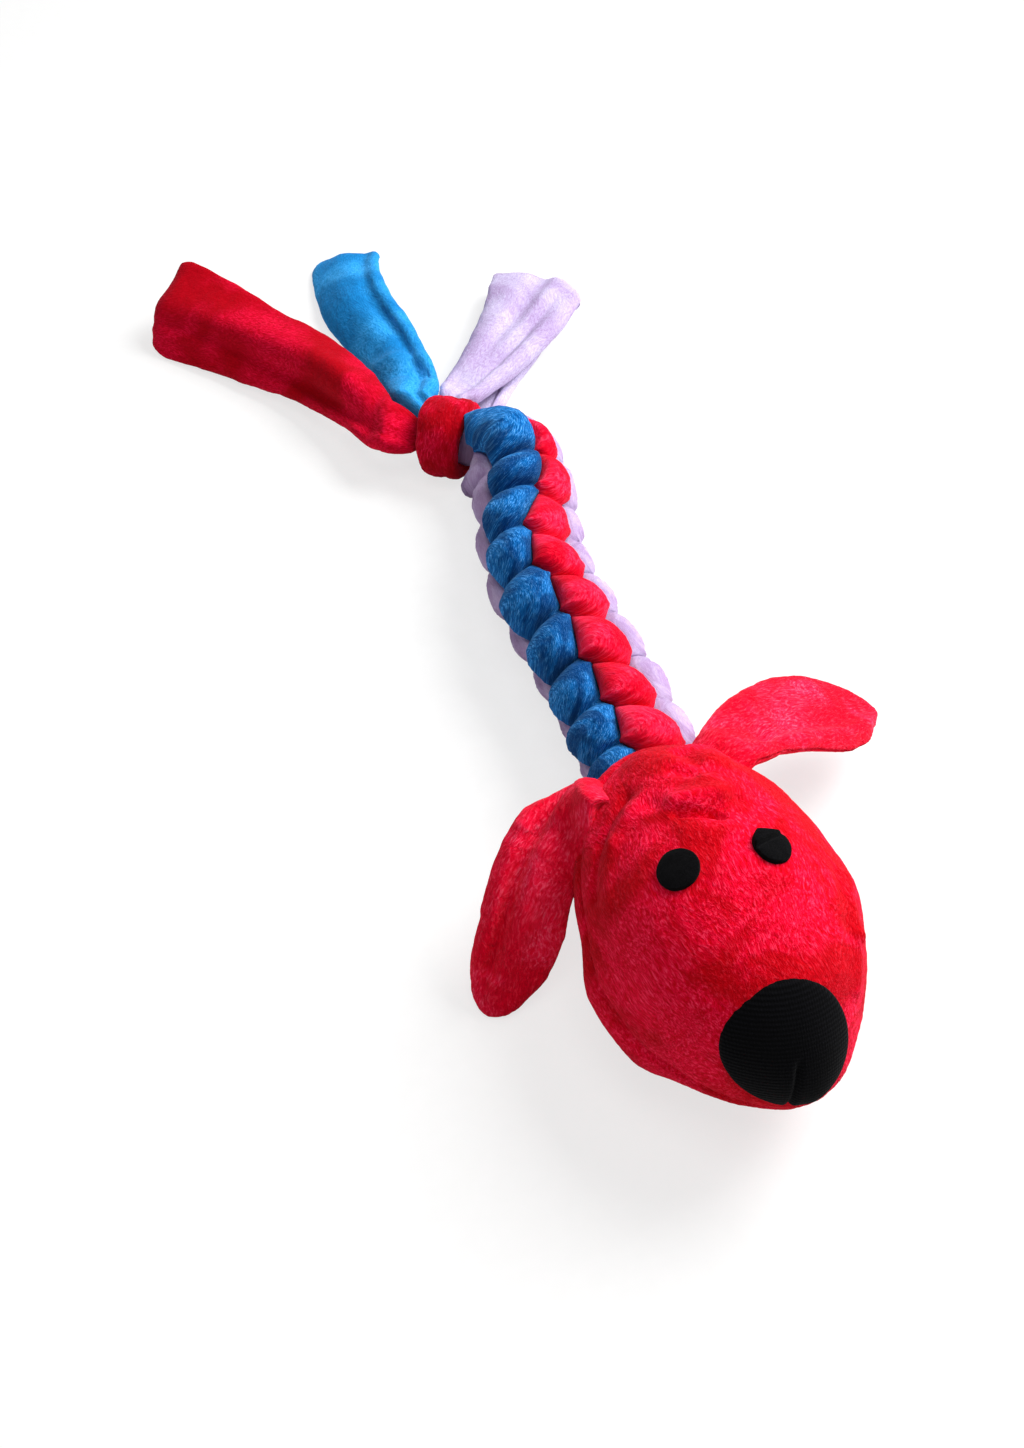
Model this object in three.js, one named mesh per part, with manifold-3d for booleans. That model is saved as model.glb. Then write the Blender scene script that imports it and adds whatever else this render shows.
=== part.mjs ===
// A braided plush dog toy that squeaks.
//
// A stuffed dog's head with a squeaker inside carries a long neck, braided from four plush strands. The
// red strand makes a turn round the other three at the far end, and the four loose ends lie behind it as
// flat tails. Millimetres, +Z up. The origin is the middle of the flat that the head rests on, the nose
// points along -Y and the braid runs along +Y. The toy lies on a floor at z = 0.

import * as THREE from "three";
import { mergeVertices } from "three/addons/utils/BufferGeometryUtils.js";
import Module from "manifold-3d";

const wasm = await Module();
wasm.setup();

// Clearances
const seatGap = 0.3;
const bendGap = 0.5;
const floorFlat = 0.4;

// Head: an egg that lies on its side, blunt at the nose and drawn in at the neck
const headFront = 55;
const headRear = 63;
const headHalfWidth = 38;
const headHalfHeight = 37.5;
const headAxisHeight = 36;
const frontTaperPower = 0.62;
const rearTaperPower = 0.5;
const panelThickness = 3;
const seamHeight = 42;
const seamRiseDegrees = 15;
const seamRollDegrees = 8;
const faceRollDegrees = 5;

// Face
const eyeDiameter = 13;
const eyeThickness = 1.3;
const eyeSpacing = 26;
const eyeForward = 1;
const noseDiameter = 33.5;
const noseProud = 0.7;
const noseTiltDegrees = 16.5;
const noseSideDegrees = 4.5;

// Squeaker, on an upright axis in the middle of the head
const squeakerDiameter = 36;
const squeakerHeight = 25;
const squeakerForward = 4;
const squeakerWall = 1.4;
const squeakerPlate = 2.4;
const squeakerFolds = 3;
const squeakerFoldDepth = 4;
const squeakerSides = 24;
const squeakerSlantShare = 1.5;
const reedPlugDiameter = 9;
const reedPlugLength = 8;
const reedBore = 3.6;
const reedLength = 7;
const reedWidth = 3;
const reedThickness = 0.6;

// Ears: two panels each, sewn into the head's seam at a straight root
const earLength = 80;
const earHalfWidth = 16;
const earPanelThickness = 4;
const earEdgeThickness = 1;
const earRootHalfWidth = 9.5;
const leftEarSide = 21;
const leftEarRear = 46;
const rightEarSide = 20;
const rightEarRear = 47;
const leftEarCup = 2;
const rightEarCup = 1;
const earSeatDepth = 2.6;
const earRootStart = 1.5;

// Braid: four strands, each one column of plump cells
const layerLength = 21.6;
const layerCount = 9;
const upperLobeRadius = 20.4;
const lowerLobeRadius = 21;
const creaseRadius = 16.4;
const coreRadius = 1;
const braidAxisHeight = 20;
const neckSide = 3;
const neckRear = 54;
const neckRise = 9;
const neckRadius = 18;
const ringTiltDegrees = 18;

// Bends in the braid, as balls centred on its axis
const bendBallRadius = 26;

// Knot: one turn of the red strand round the other three
const wrapLength = 20;
const wrapOuterRadius = 17.6;
const wrapInnerRadius = 12.2;
const throatRadius = 11.8;
const throatDome = 5;
const throatSetback = 1.2;
const throatChange = 4;

// Tails
const tailThickness = 11;
const tailEndThickness = 5;
const tailFoldDepth = 2.4;
const redTailLength = 131;
const redTailWidth = 52;
const redRootRadius = 9;
const redRootHeight = 14;
const blueTailLength = 124;
const blueTailWidth = 34;
const blueRootRadius = 7.5;
const blueRootHeight = 20;
const lilacTailLength = 96;
const lilacTailWidth = 42;
const lilacUpperRootRadius = 7;
const lilacUpperRootHeight = 16;
const lilacLowerRootRadius = 6.4;
const lilacLowerRootHeight = 6.6;
const lilacLowerThickness = 7;
const lilacStackGap = 0.6;
const tailRootRing = 23.5;
const lilacLowerRootRing = 18.5;

// Numbers of flats round and along the facetted balls and rods
const bendBallSides = 28;
const bendBallRings = 14;
const rootBallSides = 16;
const rootBallRings = 8;
const rodSides = 20;
const fullTurnDegrees = 360;

const radians = THREE.MathUtils.degToRad;

// Materials
function finish(colour, roughness, metalness = 0) {
  return new THREE.MeshStandardMaterial({ color: colour, roughness, metalness });
}

const redPlush = finish(0xd4102a, 0.95);
const bluePlush = finish(0x1467b4, 0.95);
const lilacPlush = finish(0xcdb4e1, 0.95);
const blackFelt = finish(0x0b0b0e, 1);
const blackKnit = finish(0x101014, 0.9);
const fibreFill = finish(0xf2f0ea, 1);
const squeakerPlastic = finish(0xe9e6dc, 0.45);
const reedPlastic = finish(0xc9c4b4, 0.35);

// Solids: meshes turned into bodies that can be cut and joined, and back
function solidOf(geometry) {
  const bare = geometry.clone();
  bare.deleteAttribute("normal");
  bare.deleteAttribute("uv");
  const merged = mergeVertices(bare);
  return new wasm.Manifold(
    new wasm.Mesh({
      numProp: 3,
      vertProperties: new Float32Array(merged.attributes.position.array),
      triVerts: new Uint32Array(merged.index.array),
    })
  );
}

function geometryOf(solid) {
  const mesh = solid.getMesh();
  const geometry = new THREE.BufferGeometry();
  geometry.setAttribute("position", new THREE.BufferAttribute(mesh.vertProperties, 3));
  geometry.setIndex(new THREE.BufferAttribute(mesh.triVerts, 1));
  geometry.computeVertexNormals();
  return geometry;
}

function part(name, shape, material) {
  const geometry = shape.isBufferGeometry ? shape : geometryOf(shape);
  const mesh = new THREE.Mesh(geometry, material);
  mesh.name = name;
  return mesh;
}

function moved(geometry, point, rotation = new THREE.Euler()) {
  const turn = new THREE.Quaternion().setFromEuler(rotation);
  return geometry.clone().applyMatrix4(new THREE.Matrix4().compose(point, turn, new THREE.Vector3(1, 1, 1)));
}

function ball(centre, radius, around = bendBallSides, along = bendBallRings) {
  return solidOf(moved(new THREE.SphereGeometry(radius, around, along), centre));
}

// A closed body through a row of sections with equal numbers of points
function loft(rings) {
  const size = rings[0].length;
  const points = rings.flat();
  const index = [];
  for (let i = 0; i + 1 < rings.length; i += 1) {
    for (let j = 0; j < size; j += 1) {
      const a = i * size + j;
      const b = i * size + ((j + 1) % size);
      const c = a + size;
      const d = b + size;
      // The last side is split the other way, so that two neighbouring strands share the wall between them.
      const corners = j === size - 1 ? [a, b, c, b, d, c] : [a, b, d, a, d, c];
      index.push(...corners);
    }
  }
  const lastOffset = (rings.length - 1) * size;
  for (const [ring, offset, first] of [[rings[0], 0, true], [rings.at(-1), lastOffset, false]]) {
    const middle = ring.reduce((sum, point) => sum.add(point), new THREE.Vector3()).divideScalar(size);
    const hub = points.push(middle) - 1;
    for (let j = 0; j < size; j += 1) {
      const here = offset + j;
      const next = offset + ((j + 1) % size);
      index.push(...(first ? [hub, next, here] : [hub, here, next]));
    }
  }
  const geometry = new THREE.BufferGeometry().setFromPoints(points);
  geometry.setIndex(enclosed(points, index) < 0 ? index.reverse() : index);
  return geometry;
}

// Six times the volume inside a closed set of triangles, negative where they face inwards
function enclosed(points, index) {
  let sum = 0;
  for (let i = 0; i < index.length; i += 3) {
    const [a, b, c] = [points[index[i]], points[index[i + 1]], points[index[i + 2]]];
    sum += a.dot(new THREE.Vector3().crossVectors(b, c));
  }
  return sum;
}

function blockBetween(low, high) {
  const size = new THREE.Vector3().subVectors(high, low);
  const middle = new THREE.Vector3().addVectors(low, high).multiplyScalar(0.5);
  return solidOf(moved(new THREE.BoxGeometry(size.x, size.y, size.z), middle));
}

// Everything is trimmed flat where it lies on the floor.
const reach = headRear + layerCount * layerLength + wrapLength + redTailLength + redTailWidth;
const farCorner = new THREE.Vector3(-reach, -reach, -reach);
const underFloor = blockBetween(farCorner, new THREE.Vector3(reach, reach, 0));

function onFloor(solid) {
  return solid.subtract(underFloor);
}

// A value from a table of stations, evenly spaced from 0 to 1
function blendTable(table, share) {
  const place = Math.min(Math.max(share, 0), 1) * (table.length - 1);
  const left = Math.min(Math.floor(place), table.length - 2);
  return table[left] + (table[left + 1] - table[left]) * (place - left);
}

// Directions: a bearing turns from +Y towards +X, a pitch lifts from the level
function heading(bearingDegrees, pitchDegrees = 0) {
  const bearing = radians(bearingDegrees);
  const pitch = radians(pitchDegrees);
  const level = Math.cos(pitch);
  return new THREE.Vector3(Math.sin(bearing) * level, Math.cos(bearing) * level, Math.sin(pitch));
}

// Walks a length from a start in small steps, with the bearing and pitch taken from tables.
const walkSteps = 60;

function walk(start, length, bearings, pitches) {
  const points = [start.clone()];
  for (let i = 0; i < walkSteps; i += 1) {
    const share = (i + 0.5) / walkSteps;
    const step = heading(blendTable(bearings, share), blendTable(pitches, share));
    points.push(points.at(-1).clone().addScaledVector(step, length / walkSteps));
  }
  return (share) => {
    const place = share * walkSteps;
    const left = Math.min(Math.floor(place), walkSteps - 1);
    return points[left].clone().lerp(points[left + 1], place - left);
  };
}

// Head shapes
function headEgg(grow, around, along) {
  const geometry = new THREE.SphereGeometry(1, around, along);
  const position = geometry.attributes.position;
  for (let i = 0; i < position.count; i += 1) {
    const y = position.getY(i);
    const ring = Math.max(Math.hypot(position.getX(i), position.getZ(i)), Number.EPSILON);
    const swell = Math.pow(Math.max(1 - y * y, 0), y < 0 ? frontTaperPower : rearTaperPower);
    position.setXYZ(
      i,
      ((headHalfWidth + grow) * swell * position.getX(i)) / ring,
      y * ((y < 0 ? headFront : headRear) + grow),
      headAxisHeight + ((headHalfHeight + grow) * swell * position.getZ(i)) / ring
    );
  }
  return solidOf(geometry);
}

// Where a place behind the middle of the head meets its upper surface, and the direction that it faces there
function headTop(x, y) {
  const reached = y / headRear;
  const swell = Math.pow(1 - reached * reached, rearTaperPower);
  const across = x / (headHalfWidth * swell);
  const height = headHalfHeight * swell * Math.sqrt(1 - across * across);
  const narrowing = (2 * rearTaperPower * reached * swell * swell) / (headRear * (1 - reached * reached));
  const normal = new THREE.Vector3(x / headHalfWidth ** 2, narrowing, height / headHalfHeight ** 2);
  return { point: new THREE.Vector3(x, y, headAxisHeight + height), normal: normal.normalize() };
}

// A direction from the middle of the head, turned with the face, which lies rolled a little on its left
const headMiddle = new THREE.Vector3(0, 0, headAxisHeight);

function faceTurn(vector) {
  return vector.applyAxisAngle(new THREE.Vector3(0, 1, 0), -radians(faceRollDegrees));
}

// A rod from the middle of the head outwards along a direction
function rodFrom(start, direction, diameter, sides) {
  const length = headFront + headRear;
  const rod = new THREE.CylinderGeometry(diameter / 2, diameter / 2, length, sides);
  rod.translate(0, length / 2, 0);
  const turn = new THREE.Quaternion().setFromUnitVectors(new THREE.Vector3(0, 1, 0), direction);
  rod.applyQuaternion(turn);
  rod.translate(start.x, start.y, start.z);
  return solidOf(rod);
}

function aboveSeam(offset) {
  const half = headFront + headRear;
  const block = new THREE.BoxGeometry(half * 2, half * 2, half);
  block.translate(0, 0, half / 2 + offset);
  block.rotateY(-radians(seamRollDegrees));
  block.rotateX(radians(seamRiseDegrees));
  block.translate(0, 0, seamHeight);
  return solidOf(block);
}

// Braid axis: bearings at the layer boundaries, from the head to the knot
const braidBearings = [12, 8, 3, -1, -2, 1, 14, 19, 4, -54];
const neckDropShare = [1, 0.45, 0.12, 0];
const braidLength = layerLength * layerCount;
const braidStart = new THREE.Vector3(neckSide, neckRear, 0);
const braidWalk = walk(braidStart, braidLength, braidBearings, [0, 0]);
const dropLayers = neckDropShare.length - 1;
const knotDropLayers = 2;
const wrapAxisHeight = wrapOuterRadius - floorFlat;

// A frame on the braid's axis at a distance from the neck: the point, and the side, up and along directions
function braidFrame(distance) {
  const share = distance / braidLength;
  const along = heading(blendTable(braidBearings, share));
  const inside = Math.min(Math.max(share, 0), 1);
  const point = braidWalk(inside).addScaledVector(along, distance - inside * braidLength);
  const lift = distance > 0 ? blendTable(neckDropShare, distance / (dropLayers * layerLength)) : 1;
  const knotShare = Math.max(distance / layerLength - layerCount, -knotDropLayers) / knotDropLayers + 1;
  point.z = braidAxisHeight + neckRise * lift + (wrapAxisHeight - braidAxisHeight) * Math.min(knotShare, 1);
  const side = new THREE.Vector3(along.y, -along.x, 0);
  return { point, side, up: new THREE.Vector3(0, 0, 1), along };
}

// Columns of cells: the angles at which one strand gives way to the next, and where each strand's cells start
const columns = {
  red: { from: 44, to: 103, lobe: upperLobeRadius, startShare: -0.25, material: redPlush },
  blue: { from: 103, to: 166, lobe: upperLobeRadius, startShare: 0, material: bluePlush },
  lilac_left: { from: 166, to: 282, lobe: lowerLobeRadius, startShare: -0.25, material: lilacPlush },
  lilac_right: { from: 282, to: 404, lobe: lowerLobeRadius, startShare: 0, material: lilacPlush },
};
const neighbours = ["red", "blue", "lilac_left", "lilac_right"];
const zigzagDegrees = 9;
const stationsPerLayer = 4;
const arcPoints = 6;

// In the knot the red strand turns outwards, and the other three close up to a third of the throat each.
const throatAngles = { blue: [30, 150], lilac_left: [150, 270], lilac_right: [270, 390] };

// How full a cell is, from 0 in a crease to 1 at its middle
function fullness(name, distance) {
  const place = distance / layerLength - columns[name].startShare;
  return Math.sqrt(Math.sin(Math.PI * (place - Math.floor(place))));
}

// The braid is drawn in where it enters the head and where it enters the knot.
const neckWidenShare = 1.1;
const throatNarrowShare = 0.9;
const throatStart = braidLength - throatSetback;

function drawnIn(distance, radius) {
  const fromNeck = Math.min(Math.max(distance / (layerLength * neckWidenShare), 0), 1);
  const fromKnot = Math.min(Math.max((throatStart - distance) / (layerLength * throatNarrowShare), 0), 1);
  const neck = neckRadius + (radius - neckRadius) * Math.sqrt(fromNeck);
  const knot = throatRadius + (radius - throatRadius) * Math.sqrt(fromKnot);
  return Math.min(neck, knot);
}

function wallAngle(name, distance) {
  const before = neighbours[(neighbours.indexOf(name) + 3) % 4];
  return columns[name].from - zigzagDegrees * (fullness(name, distance) - fullness(before, distance));
}

function sectorAngles(name, distance) {
  const after = neighbours[(neighbours.indexOf(name) + 1) % 4];
  const from = wallAngle(name, distance);
  const to = wallAngle(after, distance) + (after === "red" ? fullTurnDegrees : 0);
  if (distance <= throatStart) return [from, to];
  const share = Math.min((distance - throatStart) / throatChange, 1);
  return [from + (throatAngles[name][0] - from) * share, to + (throatAngles[name][1] - to) * share];
}

// One section of a strand: an arc that bulges between its two walls, and a corner near the braid's axis
function strandSection(name, distance) {
  const { point, side, up, along } = braidFrame(distance);
  const column = columns[name];
  const full = creaseRadius + (column.lobe - creaseRadius) * fullness(name, distance);
  const [from, to] = sectorAngles(name, distance);
  const past = Math.max(distance - braidLength - wrapLength, 0) / throatDome;
  const dome = Math.sqrt(Math.max(1 - past * past, 0));
  const tiltFade = Math.min(Math.max((throatStart - distance) / layerLength, 0), 1);
  const tilt = Math.tan(radians(ringTiltDegrees)) * Math.sqrt(tiltFade);
  const spot = (radius, angle) => {
    const across = radius * Math.cos(radians(angle));
    const height = radius * Math.sin(radians(angle));
    const place = point.clone().addScaledVector(side, across).addScaledVector(up, height);
    return place.addScaledVector(along, -tilt * height);
  };
  const ring = [];
  for (let i = 0; i < arcPoints; i += 1) {
    const share = (2 * i) / (arcPoints - 1) - 1;
    const bulge = Math.sqrt(1 - share * share);
    const edge = Math.min(creaseRadius, full);
    const radius = drawnIn(distance, edge + (full - edge) * bulge) * dome;
    const inset = THREE.MathUtils.radToDeg(seatGap / 2 / radius);
    ring.push(spot(radius, (from + to) / 2 + share * ((to - from) / 2 - inset)));
  }
  ring.push(spot(coreRadius, (from + to) / 2));
  return ring;
}

// Stations every quarter layer, the same for all four strands, and then through the knot
function strandStations(name) {
  const stations = [];
  for (let i = -3; i < layerCount * stationsPerLayer; i += 1) {
    stations.push((i * layerLength) / stationsPerLayer);
  }
  stations.push(throatStart);
  if (name === "red") return stations;
  const farFace = braidLength + wrapLength;
  const domeShares = [0.5, 0.85, 0.98];
  stations.push(throatStart + throatChange, (throatStart + farFace) / 2, farFace);
  stations.push(...domeShares.map((share) => farFace + throatDome * share));
  return stations;
}

function wholeStrand(name) {
  return solidOf(loft(strandStations(name).map((distance) => strandSection(name, distance))));
}

// Where the braid bends: each bend is a ball whose front is the border between two lengths of the strands.
const bendLayerShares = { neck: 1.55, middle: 3.6, rear: 6.1 };

function bendCentre(share) {
  return braidFrame(share * layerLength).point;
}

// A block across the whole braid, on the head's side of a bend's centre
function headSideOf(centre, along) {
  const block = new THREE.BoxGeometry(reach, reach, reach);
  block.translate(0, -reach / 2, 0);
  const bearing = Math.atan2(along.x, along.y);
  block.rotateZ(-bearing);
  block.translate(centre.x, centre.y, centre.z);
  return solidOf(block);
}

function bendCutters() {
  return Object.values(bendLayerShares).map((share) => {
    const frame = braidFrame(share * layerLength);
    const block = headSideOf(frame.point, frame.along);
    return {
      keepsHeadSide: block.subtract(ball(frame.point, bendBallRadius + bendGap)),
      leavesHeadSide: block.subtract(ball(frame.point, bendBallRadius)),
    };
  });
}

// Knot: where the red strand's turn sits
const wrapFrame = braidFrame(braidLength + wrapLength / 2);
const wrapSectionPoints = 10;
const wrapSides = 24;
const wrapSquareness = 0.6;

function squareCircle(value) {
  return Math.sign(value) * Math.pow(Math.abs(value), wrapSquareness);
}

function wrapRing() {
  const middle = (wrapOuterRadius + wrapInnerRadius) / 2;
  const half = (wrapOuterRadius - wrapInnerRadius) / 2;
  const profile = [];
  for (let i = 0; i <= wrapSectionPoints; i += 1) {
    const angle = (2 * Math.PI * (i % wrapSectionPoints)) / wrapSectionPoints;
    const across = middle + half * squareCircle(Math.cos(angle));
    profile.push(new THREE.Vector2(across, (wrapLength / 2) * squareCircle(Math.sin(angle))));
  }
  const geometry = new THREE.LatheGeometry(profile, wrapSides);
  geometry.rotateZ(-Math.atan2(wrapFrame.along.x, wrapFrame.along.y));
  geometry.translate(wrapFrame.point.x, wrapFrame.point.y, wrapFrame.point.z);
  return geometry;
}

// Tails: where each loose end leaves the knot, and how it lies
const wrapBearing = THREE.MathUtils.radToDeg(Math.atan2(wrapFrame.along.x, wrapFrame.along.y));
const tails = {
  red_tail: {
    rootBearing: wrapBearing - 9,
    rootRing: tailRootRing,
    rootRadius: redRootRadius,
    rootHeight: redRootHeight,
    length: redTailLength,
    width: redTailWidth,
    thickness: tailThickness,
    restsOn: 0,
    bearings: [-18, -14, -33, -38, -48],
    rolls: [8, 14, 20, 28, 34],
    foldShare: -0.1,
    material: redPlush,
  },
  blue_tail: {
    rootBearing: wrapBearing + 37,
    rootRing: tailRootRing,
    rootRadius: blueRootRadius,
    rootHeight: blueRootHeight,
    length: blueTailLength,
    width: blueTailWidth,
    thickness: tailThickness,
    restsOn: 0,
    bearings: [28, 1, -10, 3, 22],
    rolls: [10, 22, 28, 24, 14],
    foldShare: 0.25,
    material: bluePlush,
  },
  lilac_upper_tail: {
    rootBearing: wrapBearing + 77,
    rootRing: tailRootRing,
    rootRadius: lilacUpperRootRadius,
    rootHeight: lilacUpperRootHeight,
    length: lilacTailLength,
    width: lilacTailWidth,
    thickness: tailThickness,
    restsOn: lilacLowerThickness + lilacStackGap,
    bearings: [50, 46, 42, 36, 32],
    rolls: [0, 0, 0, 0, 0],
    foldShare: 0.1,
    material: lilacPlush,
  },
  lilac_lower_tail: {
    rootBearing: wrapBearing + 103,
    rootRing: lilacLowerRootRing,
    rootRadius: lilacLowerRootRadius,
    rootHeight: lilacLowerRootHeight,
    length: lilacTailLength,
    width: lilacTailWidth,
    thickness: lilacLowerThickness,
    restsOn: 0,
    bearings: [30, 34, 40, 38, 34],
    rolls: [0, 0, 0, 0, 0],
    foldShare: 0,
    material: lilacPlush,
  },
};

const tailStationShares = [0, 0.08, 0.18, 0.3, 0.43, 0.56, 0.69, 0.81, 0.9, 0.96, 1];
const tailWidthShares = [0, 0.46, 0.56, 0.68, 0.82, 0.94, 1];
const tailEndShares = { corner: 0.96, edge: 0.88 };
const tailSidePoints = 10;
const tailSquareness = 0.75;
const tailEndPower = 2;
const tailWidthRootShare = 0.9;
const tailRootThicknessShare = 0.62;
const tailFoldStartShare = 0.2;
const tailDropPower = 3;

function tailRoot(tail) {
  const point = wrapFrame.point.clone().addScaledVector(heading(tail.rootBearing), tail.rootRing);
  point.z = tail.rootHeight;
  return point;
}

// Half the width of a tail: narrow at its gathered root, square at its sewn end
function tailHalfWidth(tail, share) {
  const root = (tail.rootRadius * 2 * tailWidthRootShare) / tail.width;
  const table = [root, ...tailWidthShares.slice(1)];
  const end = share > tailEndShares.corner ? tailEndShares.edge : 1;
  return (tail.width / 2) * Math.max(blendTable(table, share), root) * end;
}

function tailHalfThickness(tail, share) {
  const root = tail.rootRadius * tailRootThicknessShare;
  const body = tail.thickness / 2;
  const end = Math.min(tailEndThickness, tail.thickness) / 2;
  if (share < 0.5) return root + (body - root) * share * 2;
  return body + (end - body) * Math.pow(share * 2 - 1, tailEndPower);
}

function tailSection(tail, share, point) {
  const bearing = blendTable(tail.bearings, share);
  const along = heading(bearing);
  const roll = -radians(blendTable(tail.rolls, share));
  const side = new THREE.Vector3(along.y, -along.x, 0).applyAxisAngle(along, roll);
  const up = new THREE.Vector3(0, 0, 1).applyAxisAngle(along, roll);
  const halfWidth = tailHalfWidth(tail, share);
  const halfThickness = tailHalfThickness(tail, share);
  const fold = tailFoldDepth * Math.sin(Math.PI * Math.min(share + tailFoldStartShare, 1));
  const ring = [];
  for (let i = 0; i < tailSidePoints; i += 1) {
    const angle = (2 * Math.PI * (i + 0.5)) / tailSidePoints;
    const swell = Math.pow(Math.abs(Math.cos(angle)), tailSquareness);
    const across = halfWidth * Math.sign(Math.cos(angle)) * swell;
    const fromFold = across / halfWidth - tail.foldShare;
    const dip = Math.sin(angle) > 0 ? fold * Math.max(1 - Math.abs(fromFold) * 2, 0) : 0;
    const height = halfThickness * Math.sin(angle) - dip;
    ring.push(point.clone().addScaledVector(side, across).addScaledVector(up, height));
  }
  return ring;
}

function lowest(points) {
  return Math.min(...points.map((point) => point.z));
}

// The tail comes down from its root and then lies on what is under it.
function tailSolid(tail) {
  const root = tailRoot(tail);
  const path = walk(root, tail.length, tail.bearings, [0, 0]);
  const rings = tailStationShares.map((share) => {
    const flat = path(share);
    flat.z = 0;
    const rest = tail.restsOn - floorFlat - lowest(tailSection(tail, share, flat));
    const drop = Math.pow(1 - share, tailDropPower);
    flat.z = rest + Math.max(tail.rootHeight - rest, 0) * drop;
    return tailSection(tail, share, flat);
  });
  return solidOf(loft(rings)).add(ball(root, tail.rootRadius, rootBallSides, rootBallRings));
}

// Ears: each leaves its root in the head's seam, and the right one drapes until it lies on the floor.
const ears = {
  left: {
    side: leftEarSide,
    rear: leftEarRear,
    bearings: [60, 66, 69, 71, 78],
    pitches: [-15, -26, -31, -29, -24],
    rolls: [0, 4, 8, 6, 0],
    cup: leftEarCup,
    chordShare: 1,
    drapes: false,
  },
  right: {
    side: -rightEarSide,
    rear: rightEarRear,
    bearings: [-108, -114, -136, -144, -136],
    pitches: [-38, -32, -50, -58, -36],
    rolls: [0, -10, -14, -12, -6],
    cup: rightEarCup,
    chordShare: 0.88,
    drapes: true,
  },
};
const earStationShares = [0, 0.1, 0.24, 0.4, 0.56, 0.72, 0.85, 0.94, 0.985, 1];
const earWidthShares = [0, 0.8, 0.93, 1, 1, 0.9];
const earTipShare = 0.78;
const earTurnShare = 0.25;
const earTipLeastShare = 0.02;
const earCrownPower = 4;
const earAcrossShares = [-1, -0.66, -0.33, 0, 0.33, 0.66, 1];
const earSeatRadius = Math.hypot(earRootStart, earPanelThickness + seatGap / 2) + seatGap;

// An ear's hinge line lies along the head's seam, above a round seat that is cut a little way into the cover.
function earHinge(ear) {
  const { point, normal } = headTop(ear.side, ear.rear);
  const out = heading(ear.bearings[0], ear.pitches[0]);
  const axis = new THREE.Vector3().crossVectors(out, normal).normalize();
  return { point: point.addScaledVector(normal, earSeatRadius - earSeatDepth), axis };
}

function earHalfWidthAt(share) {
  const root = earRootHalfWidth / earHalfWidth;
  const body = Math.max(blendTable([root, ...earWidthShares.slice(1)], share), root);
  const past = Math.max(share - earTipShare, 0) / (1 - earTipShare);
  return earHalfWidth * body * Math.sqrt(Math.max(1 - past * past, earTipLeastShare));
}

function earMiddle(ear, hinge, share, point) {
  const along = heading(blendTable(ear.bearings, share), blendTable(ear.pitches, share));
  const level = new THREE.Vector3(along.y, -along.x, 0).normalize();
  const turned = Math.min(share / earTurnShare, 1);
  const side = hinge.axis.clone().lerp(level, turned);
  side.addScaledVector(along, -side.dot(along)).normalize();
  side.applyAxisAngle(along, radians(blendTable(ear.rolls, share)));
  const up = new THREE.Vector3().crossVectors(side, along);
  const half = earHalfWidthAt(share) * (1 - (1 - ear.chordShare) * turned);
  const cup = ear.cup * Math.sin(Math.PI * Math.sqrt(share));
  return (across, height) =>
    point
      .clone()
      .addScaledVector(side, half * across)
      .addScaledVector(up, height - cup * (1 - across * across));
}

// One panel of an ear, above the middle of its thickness where direction is 1 and below it where it is -1
function earPanelRings(ear, hinge, path, direction) {
  return earStationShares.map((share) => {
    const spot = earMiddle(ear, hinge, share, path(share));
    const thickness = (across) => {
      const crown = Math.sqrt(Math.max(1 - across ** earCrownPower, 0));
      return earEdgeThickness + (earPanelThickness - earEdgeThickness) * crown;
    };
    const skin = earAcrossShares.map((across) => spot(across, direction * (seatGap / 2 + thickness(across))));
    const lining = earAcrossShares.map((across) => spot(across, (direction * seatGap) / 2));
    return [...skin, ...lining.reverse()];
  });
}

function earPath(ear, hinge, dropDegrees) {
  const pitches = ear.pitches.map((pitch) => pitch - dropDegrees);
  const start = hinge.point.clone().addScaledVector(heading(ear.bearings[0], ear.pitches[0]), earRootStart);
  return walk(start, earLength, ear.bearings, pitches);
}

// The drape is found by halving: the ear drops until its lowest point is just at the floor.
const earDropLimit = 40;
const halvings = 24;

function drapedPath(ear, hinge) {
  if (!ear.drapes) return earPath(ear, hinge, 0);
  let low = -earDropLimit;
  let high = earDropLimit;
  for (let i = 0; i < halvings; i += 1) {
    const middle = (low + high) / 2;
    const bottom = lowest(earPanelRings(ear, hinge, earPath(ear, hinge, middle), -1).flat());
    if (bottom > -floorFlat) low = middle;
    else high = middle;
  }
  return earPath(ear, hinge, (low + high) / 2);
}

// A round seat for an ear's root, cut along the head's seam, or with an inset the room that the root fills
function earSeat(ear, inset) {
  const hinge = earHinge(ear);
  const radius = earSeatRadius - inset;
  const length = 2 * (earRootHalfWidth + earSeatDepth + earRootStart);
  const rod = new THREE.CylinderGeometry(radius, radius, length - 2 * inset, rodSides);
  rod.applyQuaternion(new THREE.Quaternion().setFromUnitVectors(new THREE.Vector3(0, 1, 0), hinge.axis));
  rod.translate(hinge.point.x, hinge.point.y, hinge.point.z);
  return solidOf(rod);
}

// Pieces of the head, with the numbers of flats round and along its outer and inner surfaces
const headSides = 32;
const headRings = 20;
const fillSides = 24;
const fillRings = 14;
const eyeShellSides = 60;
const eyeShellRings = 40;
const eyeSides = 24;
const mouthSides = 24;
const pocketSides = 28;

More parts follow.
